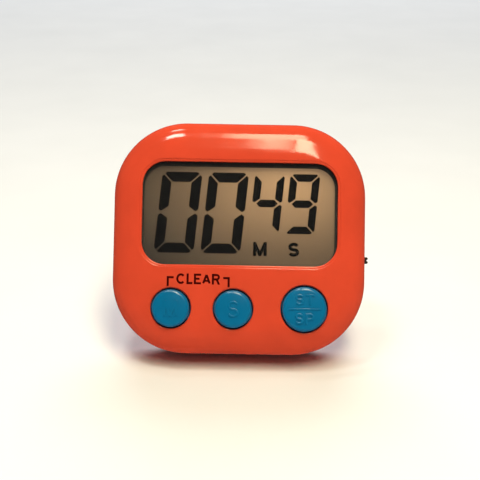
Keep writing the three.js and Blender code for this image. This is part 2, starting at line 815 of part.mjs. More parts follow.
/** The kickstand, hanging straight down from its hinge, with the heel that stops it open. */
function kickstand() {
  const opening = standOpening();
  const outer = standThickness - standInner;
  const floor = standHinge.y - standFloor;
  const heel = (floor - stopGap - standInner * Math.cos(opening)) / Math.sin(opening);
  const profile = [{ y: -standInner, z: heel }];
  const tipSteps = 8;
  for (let step = 0; step <= tipSteps; step += 1) {
    const angle = Math.PI * (1 + step / tipSteps);
    profile.push({
      y: outer - standTipRadius + standTipRadius * Math.cos(angle),
      z: -standReach + standTipRadius * Math.sin(angle),
    });
  }
  const shoulderSteps = 4;
  for (let step = 0; step <= shoulderSteps; step += 1) {
    const angle = (step / shoulderSteps) * Math.PI / 2;
    profile.push({ y: outer * Math.cos(angle), z: outer * Math.sin(angle) });
  }
  const flap = crossBar(profile, -standHalfWidth, standHalfWidth);
  const face = {
    left: -standHalfWidth,
    right: standHalfWidth,
    bottom: -standReach - standTipRadius,
    top: 2,
  };
  const trimmed = flap.intersect(plate(roundedBox(face, 0.5, standCornerRadius, 5), -5, 5));
  const pins = axle({ y: 0, z: 0 }, standPinRadius, -standPinEnd, standPinEnd, 16);
  return part('kickstand', trimmed.add(pins), orangePlastic);
}

// ---------------------------------------------------------------- magnets, sounder, screws

/** A round magnet, glued into its pocket in the back. */
function magnet(name, side) {
  const front = magnetBack - magnetThickness;
  const body = post(side * magnetCentre.x, magnetCentre.z, magnetRadius, front, magnetBack);
  return part(name, body, magnetLook);
}

/** The piezo sounder behind the kickstand's recess, with its two leads. */
function sounder() {
  const back = standTubFront - 0.2;
  const plateBody = post(0, piezoCentre, piezoRadius, back - 0.2, back);
  const ceramicBody = post(0, piezoCentre, piezoRadius * 0.7, back - 0.5, back - 0.3);
  const leadEnd = back - 0.5 - 0.4 - thinGap;
  const ceramicLead = [[2, leadEnd, 18], [3, 10.5, 13], [4, 8, 9.5], [4, partSeat + 0.2, 8.5]];
  const plateLead = [[-2, leadEnd, 13.2], [-3, 10.5, 10], [-4, 8, 8], [-4, partSeat + 0.2, 7]];
  return [
    part('piezo_plate', plateBody, brassLook),
    part('piezo_ceramic', ceramicBody, ceramicLook),
    part('piezo_ceramic_lead', wire(ceramicLead, 0.4), redInsulation),
    part('piezo_plate_lead', wire(plateLead, 0.4), blackInsulation),
  ];
}

/** A pan-head screw with a cross recess, driven in from behind. */
function screw(name, [x, z], { seat, shaftRadius, tip, headRadius, headHeight }) {
  const top = seat + headHeight;
  const profile = [[0, tip], [shaftRadius * 0.5, tip + 0.1], [shaftRadius, tip + 1],
    [shaftRadius, seat], [headRadius, seat], [headRadius, seat + headHeight * 0.5],
    [headRadius * 0.8, top], [0, top]];
  const arm = headRadius * 0.6;
  const width = headRadius * 0.13;
  const floor = top - headHeight * 0.5;
  const body = turned(profile, smallSteps)
    .subtract(block([-arm, floor, -width], [arm, top + 1, width]))
    .subtract(block([-width, floor, -arm], [width, top + 1, arm]));
  return part(name, body.translate([x, 0, z]), steelLook);
}

const caseScrew = {
  seat: wellFloor + thinGap,
  shaftRadius: caseScrewRadius,
  tip: 4,
  headRadius: 1.95,
  headHeight: 1.4,
};
const boardScrew = {
  seat: boardBack + thinGap,
  shaftRadius: boardScrewRadius,
  tip: 3,
  headRadius: 1.5,
  headHeight: 1,
};

// ---------------------------------------------------------------- assembly

/** The timer, upright, in the case's frame. */
function uprightTimer() {
  const timer = new THREE.Group();
  timer.add(frontShell(), rearShell(), displayLens(), lensGasket());
  timer.add(...displayModule(), keyMembrane(), circuitBoard(), ...boardComponents());
  for (const button of buttons) {
    timer.add(pushButton(button), contactPill(button));
  }
  timer.add(switchBody(), switchHandle(), ...sounder());
  timer.add(battery(), batterySpring());
  timer.add(contactPlate('positive_contact', 1), contactPlate('negative_contact', -1));
  timer.add(batteryLead('red_battery_lead', 1, redInsulation));
  timer.add(batteryLead('black_battery_lead', -1, blackInsulation));
  timer.add(magnet('left_magnet', -1), magnet('right_magnet', 1));
  caseScrewPlaces.forEach((place, index) => {
    timer.add(screw(`case_screw_${index + 1}`, place, caseScrew));
  });
  boardScrewPlaces.forEach((place, index) => {
    timer.add(screw(`board_screw_${index + 1}`, place, boardScrew));
  });

  const doorPivot = new THREE.Group();
  doorPivot.position.set(0, doorHinge.y, doorHinge.z);
  doorPivot.add(batteryDoor());

  const standPivot = new THREE.Group();
  standPivot.position.set(0, standHinge.y, standHinge.z);
  standPivot.rotation.x = standOpening();
  standPivot.add(kickstand());

  timer.add(doorPivot, standPivot);
  return timer;
}

/** The timer leaning back on its kickstand, standing on z = 0 with its middle at x = y = 0. */
function leaningTimer() {
  const timer = uprightTimer();
  timer.rotation.x = -leanAngle;
  timer.updateMatrixWorld(true);
  const box = new THREE.Box3().setFromObject(timer, true);
  const middle = box.getCenter(new THREE.Vector3());
  timer.position.set(-middle.x, -middle.y, -box.min.z);
  const scene = new THREE.Group();
  scene.add(timer);
  return scene;
}

export default leaningTimer();
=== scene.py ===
"""A pocket kitchen timer leaning back on its kickstand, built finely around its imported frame.

Shapes are drawn in the upright case's own frame, in millimetres: x to the right as the display
is read, y from the front face towards the back, z up from the bottom edge. The frame's nodes
and joints say where that case stands in the world.
"""

import json
import math
from dataclasses import dataclass

import bmesh
import bpy
from mathutils import Matrix, Vector
from mathutils.geometry import delaunay_2d_cdt


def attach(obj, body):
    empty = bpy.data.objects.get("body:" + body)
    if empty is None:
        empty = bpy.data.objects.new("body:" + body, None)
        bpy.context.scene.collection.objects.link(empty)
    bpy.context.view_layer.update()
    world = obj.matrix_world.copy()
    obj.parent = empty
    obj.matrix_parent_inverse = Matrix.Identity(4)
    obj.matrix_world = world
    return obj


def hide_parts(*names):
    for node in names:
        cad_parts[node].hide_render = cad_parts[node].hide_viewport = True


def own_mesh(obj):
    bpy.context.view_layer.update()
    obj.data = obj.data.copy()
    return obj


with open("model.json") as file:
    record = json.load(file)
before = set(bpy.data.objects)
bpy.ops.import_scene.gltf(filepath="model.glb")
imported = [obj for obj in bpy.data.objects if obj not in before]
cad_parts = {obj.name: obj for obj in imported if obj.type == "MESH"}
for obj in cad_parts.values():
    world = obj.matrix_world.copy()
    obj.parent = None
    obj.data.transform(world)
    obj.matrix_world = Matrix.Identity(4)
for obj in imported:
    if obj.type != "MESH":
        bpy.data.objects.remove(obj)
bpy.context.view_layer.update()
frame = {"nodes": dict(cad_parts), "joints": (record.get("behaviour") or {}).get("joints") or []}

scene = bpy.context.scene

# ---- the case's frame

MM = 0.001
joints = {joint["name"]: joint for joint in frame["joints"]}
RIGHT = Vector((1, 0, 0))
INWARD = Vector(joints["minute_press"]["axis"])
UP = -Vector(joints["power_slide"]["axis"])


def reach(node, direction):
    """The lowest and the highest place of a CAD node along a direction, in metres."""
    places = [vertex.co.dot(direction) for vertex in frame["nodes"][node].data.vertices]
    return min(places), max(places)


def case_frame():
    """The matrix from the upright case's frame, in millimetres, to the world."""
    origin = sum(reach("front_shell", RIGHT)) / 2 * RIGHT
    origin += reach("front_shell", INWARD)[0] * INWARD
    origin += reach("front_shell", UP)[0] * UP
    axes = Matrix((RIGHT, INWARD, UP)).transposed().to_4x4()
    return Matrix.Translation(origin) @ axes @ Matrix.Scale(MM, 4)


CASE = case_frame()


@dataclass(frozen=True)
class Box:
    """The lowest and the highest corner of something in the case's frame."""

    low: Vector
    high: Vector

    @property
    def middle(self):
        return (self.low + self.high) / 2

    @property
    def size(self):
        return self.high - self.low


def block(left, right, front, back, bottom, top):
    """The box between two places across the case, two into it and two up it."""
    return Box(Vector((left, front, bottom)), Vector((right, back, top)))


def node_box(node):
    """A CAD node's box in the case's frame."""
    to_case = CASE.inverted()
    sides = list(zip(*(to_case @ vertex.co for vertex in frame["nodes"][node].data.vertices)))
    return Box(Vector([min(side) for side in sides]), Vector([max(side) for side in sides]))


# ---- outlines

# A gap too small to see: the run of a step in a surface.
TINY = 0.02


def curve_points(middle_x, middle_z, across_radius, up_radius, start, end, steps=10):
    """Points along part of an ellipse, between two angles in degrees."""
    points = []
    for step in range(steps + 1):
        angle = math.radians(start + (end - start) * step / steps)
        x = middle_x + across_radius * math.cos(angle)
        points.append((x, middle_z + up_radius * math.sin(angle)))
    return points


@dataclass(frozen=True)
class Outline:
    """A box with round corners, seen from the front; a circle is one with no straight side."""

    left: float
    right: float
    bottom: float
    top: float
    top_radius: float
    bottom_radius: float
    steps: int = 12

    def grown(self, margin):
        """The same outline, moved out by a margin all round."""
        return Outline(
            self.left - margin, self.right + margin, self.bottom - margin, self.top + margin,
            self.top_radius + margin, self.bottom_radius + margin, self.steps,
        )

    def ring(self, growth=0.0):
        """Its points anticlockwise, moved out by a margin."""
        low, high = self.bottom_radius, self.top_radius
        corners = (
            (self.right - low, self.bottom + low, low, -90),
            (self.right - high, self.top - high, high, 0),
            (self.left + high, self.top - high, high, 90),
            (self.left + low, self.bottom + low, low, 180),
        )
        points = []
        for x, z, radius, start in corners:
            out = radius + growth
            for place in curve_points(x, z, out, out, start, start + 90, self.steps):
                point = Vector(place)
                if not points or (point - points[-1]).length > TINY / 10:
                    points.append(point)
        if (points[0] - points[-1]).length < TINY / 10:
            points.pop()
        return points

    def distance(self, x, z):
        """How far a place is outside the outline; inside it is negative."""
        middle = (self.bottom + self.top) / 2
        radius = self.top_radius if z > middle else self.bottom_radius
        across = abs(x - (self.left + self.right) / 2) - (self.right - self.left) / 2 + radius
        along = abs(z - middle) - (self.top - self.bottom) / 2 + radius
        outside = math.hypot(max(across, 0), max(along, 0))
        return outside + min(max(across, along), 0) - radius


def circle(x, z, radius, steps=12):
    """A round outline; steps is for a quarter of it."""
    return Outline(x - radius, x + radius, z - radius, z + radius, radius, radius, steps)


def box_outline(box, radius, steps):
    """The outline of a box seen from the front, with round corners."""
    return Outline(box.low.x, box.high.x, box.low.z, box.high.z, radius, radius, steps)


def ellipse_drop(distance, width, drop):
    """How far an edge rolled over a quarter ellipse has dropped, at a distance in from it."""
    share = min(1.0, max(0.0, 1 - distance / width))
    return drop * (1 - math.sqrt(1 - share ** 2))


def fillet(distance, radius):
    """How far a rounded edge has dropped, at a distance in from the edge."""
    return ellipse_drop(distance, radius, radius)


def fillet_offsets(radius, steps):
    """Distances in from an edge at which a rounded edge needs a ring, the furthest in first."""
    return [radius * (1 - math.sin(step / steps * math.pi / 2)) for step in range(steps + 1)]


def edge_rings(outline, radius, steps, side=-1):
    """The rings for a rounded edge: inside an outline or, with side 1, round a hole."""
    return [outline.ring(side * offset) for offset in fillet_offsets(radius, steps)[:-1]]


# ---- meshes

def slab(outline, front, back, holes=(), rings=(), lines=()):
    """A closed body inside an outline, between a front and a back surface given as depths.

    Its edges follow the outline, the holes that go right through, and the given rings and lines.
    """
    points, edges, faces = [], [], []
    for ring in (outline, *holes):
        first = len(points)
        points.extend(ring)
        faces.append(list(range(first, len(points))))
    for ring in rings:
        first = len(points)
        points.extend(ring)
        last = len(points) - 1
        edges.extend((index, index + 1) for index in range(first, last))
        edges.append((last, first))
    for start, end in lines:
        edges.append((len(points), len(points) + 1))
        points.extend((Vector(start), Vector(end)))
    return filled(points, edges, faces, lambda within: list(within) == [0], front, back)


def filled(points, edges, faces, wanted, front, back):
    """A closed body over the triangles whose set of faces is wanted."""
    places, _, triangles, _, _, within = delaunay_2d_cdt(points, edges, faces, 0, TINY / 100)
    kept = [tri for tri, inside in zip(triangles, within) if wanted(inside)]
    return two_sided(places, kept, front, back)


def two_sided(places, triangles, front, back):
    """A closed body over some triangles, between a front and a back surface."""
    mesh = bmesh.new()
    used = sorted({index for tri in triangles for index in tri})
    fronts = {i: mesh.verts.new((places[i].x, front(*places[i]), places[i].y)) for i in used}
    backs = {i: mesh.verts.new((places[i].x, back(*places[i]), places[i].y)) for i in used}
    sides = set()
    for tri in triangles:
        mesh.faces.new([fronts[index] for index in tri])
        mesh.faces.new([backs[index] for index in reversed(tri)])
        sides.update(zip(tri, (*tri[1:], tri[0])))
    for a, b in sides:
        if (b, a) not in sides:
            mesh.faces.new((fronts[b], fronts[a], backs[a], backs[b]))
    return as_mesh(mesh)


def as_mesh(built):
    """A finished mesh from a bmesh, in the case's frame."""
    mesh = bpy.data.meshes.new("shape")
    built.to_mesh(mesh)
    built.free()
    return mesh


def turned(profile, steps=96):
    """A body turned about the depth axis, from its radius at each depth, front to back."""
    built = bmesh.new()
    rings = []
    for radius, depth in profile:
        if radius < TINY / 10:
            rings.append([built.verts.new((0, depth, 0))] * steps)
            continue
        round_ring = curve_points(0, 0, radius, radius, 0, 360, steps)[:-1]
        rings.append([built.verts.new((x, depth, z)) for x, z in round_ring])
    for near, far in zip(rings, rings[1:]):
        for step in range(steps):
            after = (step + 1) % steps
            corners = [near[step], far[step], far[after], near[after]]
            built.faces.new(list(dict.fromkeys(corners)))
    bmesh.ops.recalc_face_normals(built, faces=built.faces)
    return as_mesh(built)


def sheet(points, front, back, drop=lambda x, z: 0.0, holes=(), rings=()):
    """A flat body between two depths; drop says how far both its faces give way at a place."""
    return slab(
        [Vector(point) for point in points],
        lambda x, z: front + drop(x, z),
        lambda x, z: back - drop(x, z),
        holes=holes, rings=rings,
    )


def bevelled(built, edges, width, segments=2):
    """A finished mesh from a bmesh, with some of its edges rounded."""
    bmesh.ops.bevel(
        built, geom=edges, offset=width, segments=segments, profile=0.5, affect="EDGES",
        clamp_overlap=True,
    )
    return as_mesh(built)


def bar(box, edge, segments=3):
    """A block with rounded edges."""
    built = bmesh.new()
    bmesh.ops.create_cube(built, size=1)
    placed = Matrix.Translation(box.middle) @ Matrix.Diagonal((*box.size, 1))
    bmesh.ops.transform(built, matrix=placed, verts=built.verts)
    return bevelled(built, built.edges[:], edge, segments)


def across(mesh):
    """A mesh turned from the depth axis onto the x axis, its front to the left."""
    mesh.transform(Matrix.Rotation(-math.pi / 2, 4, "Z"))
    return mesh


def shifted(mesh, x, y, z):
    """A mesh moved along the case's axes."""
    mesh.transform(Matrix.Translation((x, y, z)))
    return mesh


def in_scene(name, data):
    """A new object in the scene, made from a mesh, a lamp or a camera."""
    made = bpy.data.objects.new(name, data)
    scene.collection.objects.link(made)
    return made


def combined(mesh, others, operation):
    """A mesh joined with or cut by others."""
    base = in_scene("base", mesh)
    tools = [in_scene("tool", other) for other in others]
    for tool in tools:
        modifier = base.modifiers.new("join", "BOOLEAN")
        modifier.operation = operation
        modifier.solver = "EXACT"
        modifier.object = tool
    graph = bpy.context.evaluated_depsgraph_get()
    result = bpy.data.meshes.new_from_object(base.evaluated_get(graph))
    for tool in (base, *tools):
        bpy.data.objects.remove(tool)
    return result


def joined(meshes):
    """Several meshes as one, each still a body of its own."""
    built = bmesh.new()
    for mesh in meshes:
        built.from_mesh(mesh)
    return as_mesh(built)


SHARP = math.radians(38)


def piece(name, mesh, look, body="case", replaces=()):
    """A finished piece: placed in the world, smoothed, painted and riding on its body."""
    mesh.name = name
    mesh.transform(CASE)
    mesh.shade_smooth()
    mesh.set_sharp_from_angle(angle=SHARP)
    mesh.materials.clear()
    mesh.materials.append(look)
    made = in_scene(name, mesh)
    normals = made.modifiers.new("face_normals", "WEIGHTED_NORMAL")
    normals.keep_sharp = True
    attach(made, body)
    if replaces:
        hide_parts(*replaces)
    return made


# ---- materials

def srgb(red, green, blue):
    """A colour given as it looks on a screen, from 0 to 255, as the renderer's linear values."""
    def linear(value):
        share = value / 255
        return share / 12.92 if share <= 0.04045 else ((share + 0.055) / 1.055) ** 2.4
    return (linear(red), linear(green), linear(blue), 1.0)


class Paint:
    """A material under construction: its shader and the patterns that drive it."""

    def __init__(self, name):
        self.material = bpy.data.materials.new(name)
        self.material.use_nodes = True
        self.tree = self.material.node_tree
        self.shader = self.tree.nodes["Principled BSDF"]

    def node(self, kind, **inputs):
        """A new node with some of its inputs set."""
        made = self.tree.nodes.new(kind)
        for name, value in inputs.items():
            made.inputs[name.replace("_", " ")].default_value = value
        return made

    def link(self, source, target):
        """Joins a node's output to another node's input."""
        self.tree.links.new(source, target)

    def set(self, **inputs):
        """Sets the shader's own values."""
        for name, value in inputs.items():
            self.shader.inputs[name.replace("_", " ")].default_value = value
        return self

    def noise(self, size, detail=3.0, stretch=(1, 1, 1)):
        """A cloudy pattern whose features are about so many millimetres across."""
        mapping = self.node("ShaderNodeMapping", Scale=stretch)
        texture = self.node("ShaderNodeTexNoise", Scale=1 / (size * MM), Detail=detail)
        return self.laid_on(mapping, texture)

    def patch(self, centre, radii):
        """A soft patch that is 1 at a place in the case's frame and fades out at its radii."""
        mapping = self.node(
            "ShaderNodeMapping", Location=CASE @ Vector(centre), Scale=Vector(radii) * MM,
            Rotation=CASE.to_3x3().normalized().to_euler(),
        )
        mapping.vector_type = "TEXTURE"
        texture = self.node("ShaderNodeTexGradient")
        texture.gradient_type = "QUADRATIC_SPHERE"
        return self.laid_on(mapping, texture)

    def laid_on(self, mapping, texture):
        """A texture's pattern once it is laid on the object through a mapping."""
        place = self.node("ShaderNodeTexCoord")
        self.link(place.outputs["Object"], mapping.inputs["Vector"])
        self.link(mapping.outputs["Vector"], texture.inputs["Vector"])
        return texture.outputs["Fac"]

    def ranged(self, pattern, low, high, start=0.3, end=0.7):
        """A pattern stretched to run from low to high."""
        made = self.node("ShaderNodeMapRange", From_Min=start, From_Max=end, To_Min=low, To_Max=high)
        self.link(pattern, made.inputs["Value"])
        return made.outputs["Result"]

    def colours(self, pattern, first, second, start=0.3, end=0.7):
        """Paints the base colour between two colours, by a pattern, and returns that mix."""
        mix = self.tree.nodes.new("ShaderNodeMix")
        mix.data_type = "RGBA"
        mix.inputs[6].default_value = first
        mix.inputs[7].default_value = second
        self.link(self.ranged(pattern, 0, 1, start, end), mix.inputs["Factor"])
        self.link(mix.outputs[2], self.shader.inputs["Base Color"])
        return mix.outputs[2]

    def roughness(self, pattern, low, high):
        """Varies the roughness by a pattern."""
        self.link(self.ranged(pattern, low, high), self.shader.inputs["Roughness"])

    def bumps(self, pattern, height):
        """Raises the surface by a pattern, so many millimetres high."""
        bump = self.node("ShaderNodeBump", Strength=1.0, Distance=height * MM)
        self.link(pattern, bump.inputs["Height"])
        self.link(bump.outputs["Normal"], self.shader.inputs["Normal"])

    def tones(self, size, colour, darkest, lightest, **pattern):
        """Mottles the base colour a little darker and lighter, in clouds of a size."""
        dark, light = shade(colour, darkest), shade(colour, lightest)
        self.colours(self.noise(size, **pattern), dark, light)

    def mixed(self, first, second):
        """Makes the surface a mix of two shaders and returns the input for the second's share."""
        mix = self.node("ShaderNodeMixShader")
        self.link(first.outputs["BSDF"], mix.inputs[1])
        self.link(second.outputs["BSDF"], mix.inputs[2])
        self.link(mix.outputs["Shader"], self.tree.nodes["Material Output"].inputs["Surface"])
        return mix.inputs["Fac"]


def shade(colour, factor):
    """A colour made lighter or darker."""
    return (*(min(1.0, channel * factor) for channel in colour[:3]), 1.0)


def moulded_plastic(name, colour, rough, peel=0.004):
    """Injection-moulded plastic: an even colour, a faint orange-peel and small gloss changes."""
    paint = Paint(name)
    paint.tones(9, colour, 0.95, 1.05)
    paint.roughness(paint.noise(4), rough * 0.85, rough * 1.2)
    paint.bumps(paint.noise(1.6, detail=2), peel)
    return paint.material


def metal(name, colour, rough, stretch=(1, 1, 1)):
    """Plated or rolled metal with a fine grain."""
    grain = 0.4
    paint = Paint(name).set(Metallic=0.75)
    paint.tones(12, colour, 0.96, 1.04)
    paint.roughness(paint.noise(grain, stretch=stretch), rough * 0.75, rough * 1.3)
    paint.bumps(paint.noise(grain, detail=4, stretch=stretch), 0.003)
    return paint.material


def rubber(name, colour, rough=0.8):
    """Foam or moulded rubber with a fine matt grain."""
    paint = Paint(name)
    paint.tones(2, colour, 0.8, 1.2)
    paint.roughness(paint.noise(0.5), rough * 0.9, min(1.0, rough * 1.1))
    paint.bumps(paint.noise(0.25, detail=4), 0.02)
    return paint.material


def laminate(name, colour):
    """The circuit board's paper laminate, with its fibres."""
    paint = Paint(name)
    along = (0.2, 1, 1)
    paint.tones(1.2, colour, 0.8, 1.1, detail=6, stretch=along)
    paint.roughness(paint.noise(0.6), 0.45, 0.65)
    paint.bumps(paint.noise(0.3, stretch=along), 0.004)
    return paint.material


def print_ink(name, colour):
    """Pad-printed ink, slightly uneven in its cover."""
    paint = Paint(name)
    paint.tones(0.6, colour, 0.8, 1.25)
    paint.roughness(paint.noise(0.8), 0.3, 0.45)
    return paint.set(Specular_IOR_Level=0.03).material


# Painted light on the display's film: it glows at this strength though it is no lamp, and its colour,
# in glow and in base, is a painted reflection that is lightest at this centre and fades out at these
# radii.
PAINTED_FILM_GLOW = 1.5
PAINTED_LIGHT_CENTRE = (13, 4, 48)
PAINTED_LIGHT_RADII = (62, 62, 41)


def display_film(name, dark, light):
    """The satin film behind the display, with painted light: a painted reflection lightens its upper
    right, and it has a painted glow.
    """
    paint = Paint(name).set(Metallic=0.3, Emission_Strength=PAINTED_FILM_GLOW)
    colour = paint.colours(paint.patch(PAINTED_LIGHT_CENTRE, PAINTED_LIGHT_RADII), dark, light, start=0, end=1)
    paint.link(colour, paint.shader.inputs["Emission Color"])
    paint.roughness(paint.noise(0.4, detail=2), 0.42, 0.5)
    paint.bumps(paint.noise(0.15, detail=2), 0.0015)
    return paint.material


def see_through(name, tint, cover, rough):
    """A sheet that light passes straight through, with a share of satin gloss on it."""
    paint = Paint(name)
    paint.tree.nodes.remove(paint.shader)
    clear = paint.node("ShaderNodeBsdfTransparent", Color=tint)
    gloss = paint.node("ShaderNodeBsdfAnisotropic")
    paint.link(paint.ranged(paint.noise(0.5), rough * 0.9, rough * 1.1), gloss.inputs["Roughness"])
    paint.mixed(clear, gloss).default_value = cover
    return paint.material


def window_plastic(name):
    """Clear polished acrylic, which lamps shine straight through."""
    paint = Paint(name).set(Transmission_Weight=1.0, IOR=1.49, Base_Color=(0.98, 0.98, 0.97, 1))
    paint.roughness(paint.noise(3), 0.0, 0.03)
    clear = paint.node("ShaderNodeBsdfTransparent", Color=(0.93, 0.93, 0.93, 1))
    to_lamp = paint.node("ShaderNodeLightPath").outputs["Is Shadow Ray"]
    paint.link(to_lamp, paint.mixed(paint.shader, clear))
    return paint.material


ORANGE = moulded_plastic("orange_abs", srgb(220, 75, 49), 0.11)
BLUE = moulded_plastic("blue_abs", srgb(0, 110, 164), 0.2, peel=0.003)
BLACK = moulded_plastic("black_plastic", srgb(16, 16, 16), 0.4)
WINDOW = window_plastic("clear_window")
CELL_GLASS = see_through("display_cell_glass", (0.97, 0.96, 0.94, 1), 0.003, 0.2)
FILM = display_film("transflective_film", srgb(13, 15, 16), srgb(130, 105, 79))
SEGMENT = print_ink("liquid_crystal_dark", srgb(3, 4, 6))
INK = print_ink("dark_print", srgb(60, 6, 4))
FOAM = rubber("black_foam", srgb(14, 11, 10))
SILICONE = rubber("grey_silicone", srgb(185, 188, 182), 0.6)
BOARD = laminate("paper_laminate", srgb(140, 107, 52))
EPOXY = moulded_plastic("black_epoxy", srgb(14, 14, 14), 0.28)
CERAMIC = moulded_plastic("white_ceramic", srgb(230, 226, 214), 0.5)
STEEL = metal("nickel_plated_steel", srgb(190, 190, 188), 0.26)
BRASS = metal("rolled_brass", srgb(200, 162, 74), 0.3, stretch=(1, 0.1, 1))
MAGNET = metal("nickel_plated_magnet", srgb(165, 166, 168), 0.22)
WRAP = moulded_plastic("battery_wrap", srgb(30, 70, 52), 0.25)
RED_WIRE = moulded_plastic("red_insulation", srgb(176, 32, 28), 0.4)
BLACK_WIRE = moulded_plastic("black_insulation", srgb(22, 22, 22), 0.4)

# ---- driving dimensions

front_box = node_box("front_shell")
rear_box = node_box("rear_shell")
lens_box = node_box("display_lens")
door_box = node_box("battery_door")

WIDTH = front_box.size.x
HEIGHT = front_box.size.z
DEPTH = rear_box.high.y
PARTING = front_box.high.y
PARTING_GAP = 0.25
FACE_ROLL = 9.5
FACE_DROP = 5.5
BACK_ROLL = 2.5
WALL = 1.8
FRONT_WALL = 2.0
# A tongue stands on the front half's rim, and the rear half's rim is cut back to take it.
TONGUE = 0.9
TONGUE_INSET = 1.0
RIM_EDGE = 0.15

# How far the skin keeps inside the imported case.
SKIN_MARGIN = 0.01
CASE_OUTLINE = Outline(-WIDTH / 2, WIDTH / 2, 0, HEIGHT, 20.3, 20.5, steps=30).grown(-SKIN_MARGIN)
LENS_OVERLAP = 1.2
WINDOW_RADIUS = 6.4
LENS_OUTLINE = box_outline(lens_box, WINDOW_RADIUS + LENS_OVERLAP, steps=14)
WINDOW_OUTLINE = LENS_OUTLINE.grown(-LENS_OVERLAP)
LIP_LEDGE = 0.6
LIP_STEP = 0.22
LIP_EDGE = 0.34

FLANGE = 1.0
HOLE_GAP = 0.4
HOLE_EDGE = 0.45
BUTTONS = ("minute", "second", "start_stop")


@dataclass(frozen=True)
class Key:
    """Where a push button is and how wide its cap is."""

    name: str
    x: float
    z: float
    radius: float
    box: Box


def push_key(name):
    """A push button as the frame has it."""
    box = node_box(f"{name}_button")
    return Key(name, box.middle.x, box.middle.z, box.size.x / 2 - FLANGE, box)


KEYS = [push_key(name) for name in BUTTONS]


def inset(x, z):
    """How far a place is in from the case's outer edge."""
    return -CASE_OUTLINE.distance(x, z)


# ---- front shell

def lip_drop(distance):
    """The narrow ledge round the window, with a rounded step at each of its edges."""
    step = ellipse_drop(distance - LIP_LEDGE, LIP_EDGE, LIP_STEP)
    return step + fillet(distance, LIP_EDGE)


def front_shell():
    """The front half of the case, with the window and the button holes."""
    holes = [circle(key.x, key.z, key.radius + HOLE_GAP, steps=20) for key in KEYS]
    lens_play = 0.3
    seat = LENS_OUTLINE.grown(lens_play)
    lip_back = lens_box.low.y - 0.05
    inner_roll = 2.5

    def outside(x, z):
        depth = ellipse_drop(inset(x, z), FACE_ROLL, FACE_DROP)
        depth += lip_drop(WINDOW_OUTLINE.distance(x, z))
        return depth + sum(fillet(hole.distance(x, z), HOLE_EDGE) for hole in holes)

    def inside(x, z):
        edge = inset(x, z)
        if edge < TONGUE_INSET:
            return PARTING - fillet(edge, RIM_EDGE)
        if edge < FRONT_WALL + TINY / 2:
            return PARTING + TONGUE
        if seat.distance(x, z) < -TINY / 2:
            return lip_back
        return FRONT_WALL + ellipse_drop(edge - FRONT_WALL, inner_roll, inner_roll)

    steps_in = [TONGUE_INSET - TINY, TONGUE_INSET, FRONT_WALL, FRONT_WALL + TINY]
    steps_in += [FRONT_WALL + offset for offset in fillet_offsets(inner_roll, 3)[:-1]]
    rings = edge_rings(CASE_OUTLINE, FACE_ROLL, 16) + edge_rings(CASE_OUTLINE, RIM_EDGE, 3)
    rings += [CASE_OUTLINE.ring(-offset) for offset in steps_in]
    rings += edge_rings(WINDOW_OUTLINE, LIP_EDGE, 4, 1)
    for offset in (-TINY / 2, *fillet_offsets(LIP_EDGE, 4)):
        rings.append(WINDOW_OUTLINE.ring(LIP_LEDGE + offset))
    rings += [seat.ring(), seat.ring(-TINY)]
    for hole in holes:
        rings += edge_rings(hole, HOLE_EDGE, 5, 1)
    openings = [WINDOW_OUTLINE.ring(), *(hole.ring() for hole in holes)]
    mesh = slab(CASE_OUTLINE.ring(), outside, inside, holes=openings, rings=rings)
    piece("front_shell_skin", mesh, ORANGE, replaces=["front_shell"])


# ---- rear shell

STAND_HALF = 12.0
# How far the folded stand reaches from its hinge's middle, out of the back and into it.
STAND_OUTER = 1.2
STAND_INNER = 0.8
STAND_GAP = 0.3
STAND_TIP = 3.2
STAND_FLOOR = 15.4
STAND_CORNER = 3.6
hinge_place = CASE.inverted() @ Vector(joints["stand_hinge"]["pos_m"])
STAND_OPENING = math.radians(joints["stand_hinge"]["range_deg"][1])
DOOR_HALF = 26.8
DOOR_GAP = 0.25
DOOR_CORNER = 3.0
DOOR_FLOOR = DEPTH - WALL
door_hinge = CASE.inverted() @ Vector(joints["door_hinge"]["pos_m"])
DOOR_PIN = 0.45
STAND_PIN = 0.8
PIN_PLAY = 0.15
PIN_END_PLAY = 0.3

battery_box = node_box("battery")
BAY_HALF = 25.6
BAY_PLAY = 0.35
BAY = Outline(
    -BAY_HALF, BAY_HALF, battery_box.low.z - BAY_PLAY, battery_box.high.z + BAY_PLAY,
    0.6, 0.6, steps=3,
)
BAY_FLOOR = battery_box.low.y - 0.3
CASE_SCREWS = [f"case_screw_{number}" for number in range(1, 5)]
SCREW_HOLE = 1.2
SCREW_WELL = 2.3
SCREW_SEAT = 12.0


@dataclass(frozen=True)
class Pocket:
    """A hollow in the back: its outline, its floor, and the wall that stands round it inside."""

    outline: Outline
    floor: float
    edge: float
    wall: float
    base: float


def back_pockets():
    """Every hollow in the case's back."""
    door = Outline(
        -DOOR_HALF - DOOR_GAP, DOOR_HALF + DOOR_GAP, door_box.low.z - DOOR_GAP,
        door_box.high.z + DOOR_GAP, DOOR_CORNER, 0.4, steps=6,
    )
    stand = Outline(
        -STAND_HALF - STAND_GAP, STAND_HALF + STAND_GAP, STAND_TIP - STAND_GAP,
        hinge_place.z + STAND_OUTER + STAND_GAP, 0.6, STAND_CORNER + STAND_GAP, steps=8,
    )
    pockets = [
        Pocket(door, DOOR_FLOOR, edge=0.2, wall=2.15, base=1.6),
        Pocket(BAY, BAY_FLOOR, edge=0.0, wall=1.0, base=0.8),
        Pocket(stand, STAND_FLOOR, edge=0.25, wall=1.9, base=1.4),
    ]
    for name in ("left_magnet", "right_magnet"):
        box = node_box(name)
        outline = circle(box.middle.x, box.middle.z, box.size.x / 2 + 0.2, steps=16)
        pockets.append(Pocket(outline, box.low.y - 0.1, edge=0.2, wall=1.3, base=1.2))
    for name in CASE_SCREWS:
        middle = node_box(name).middle
        outline = circle(middle.x, middle.z, SCREW_WELL, steps=10)
        pockets.append(Pocket(outline, SCREW_SEAT, edge=0.2, wall=1.0, base=2.0))
    return pockets


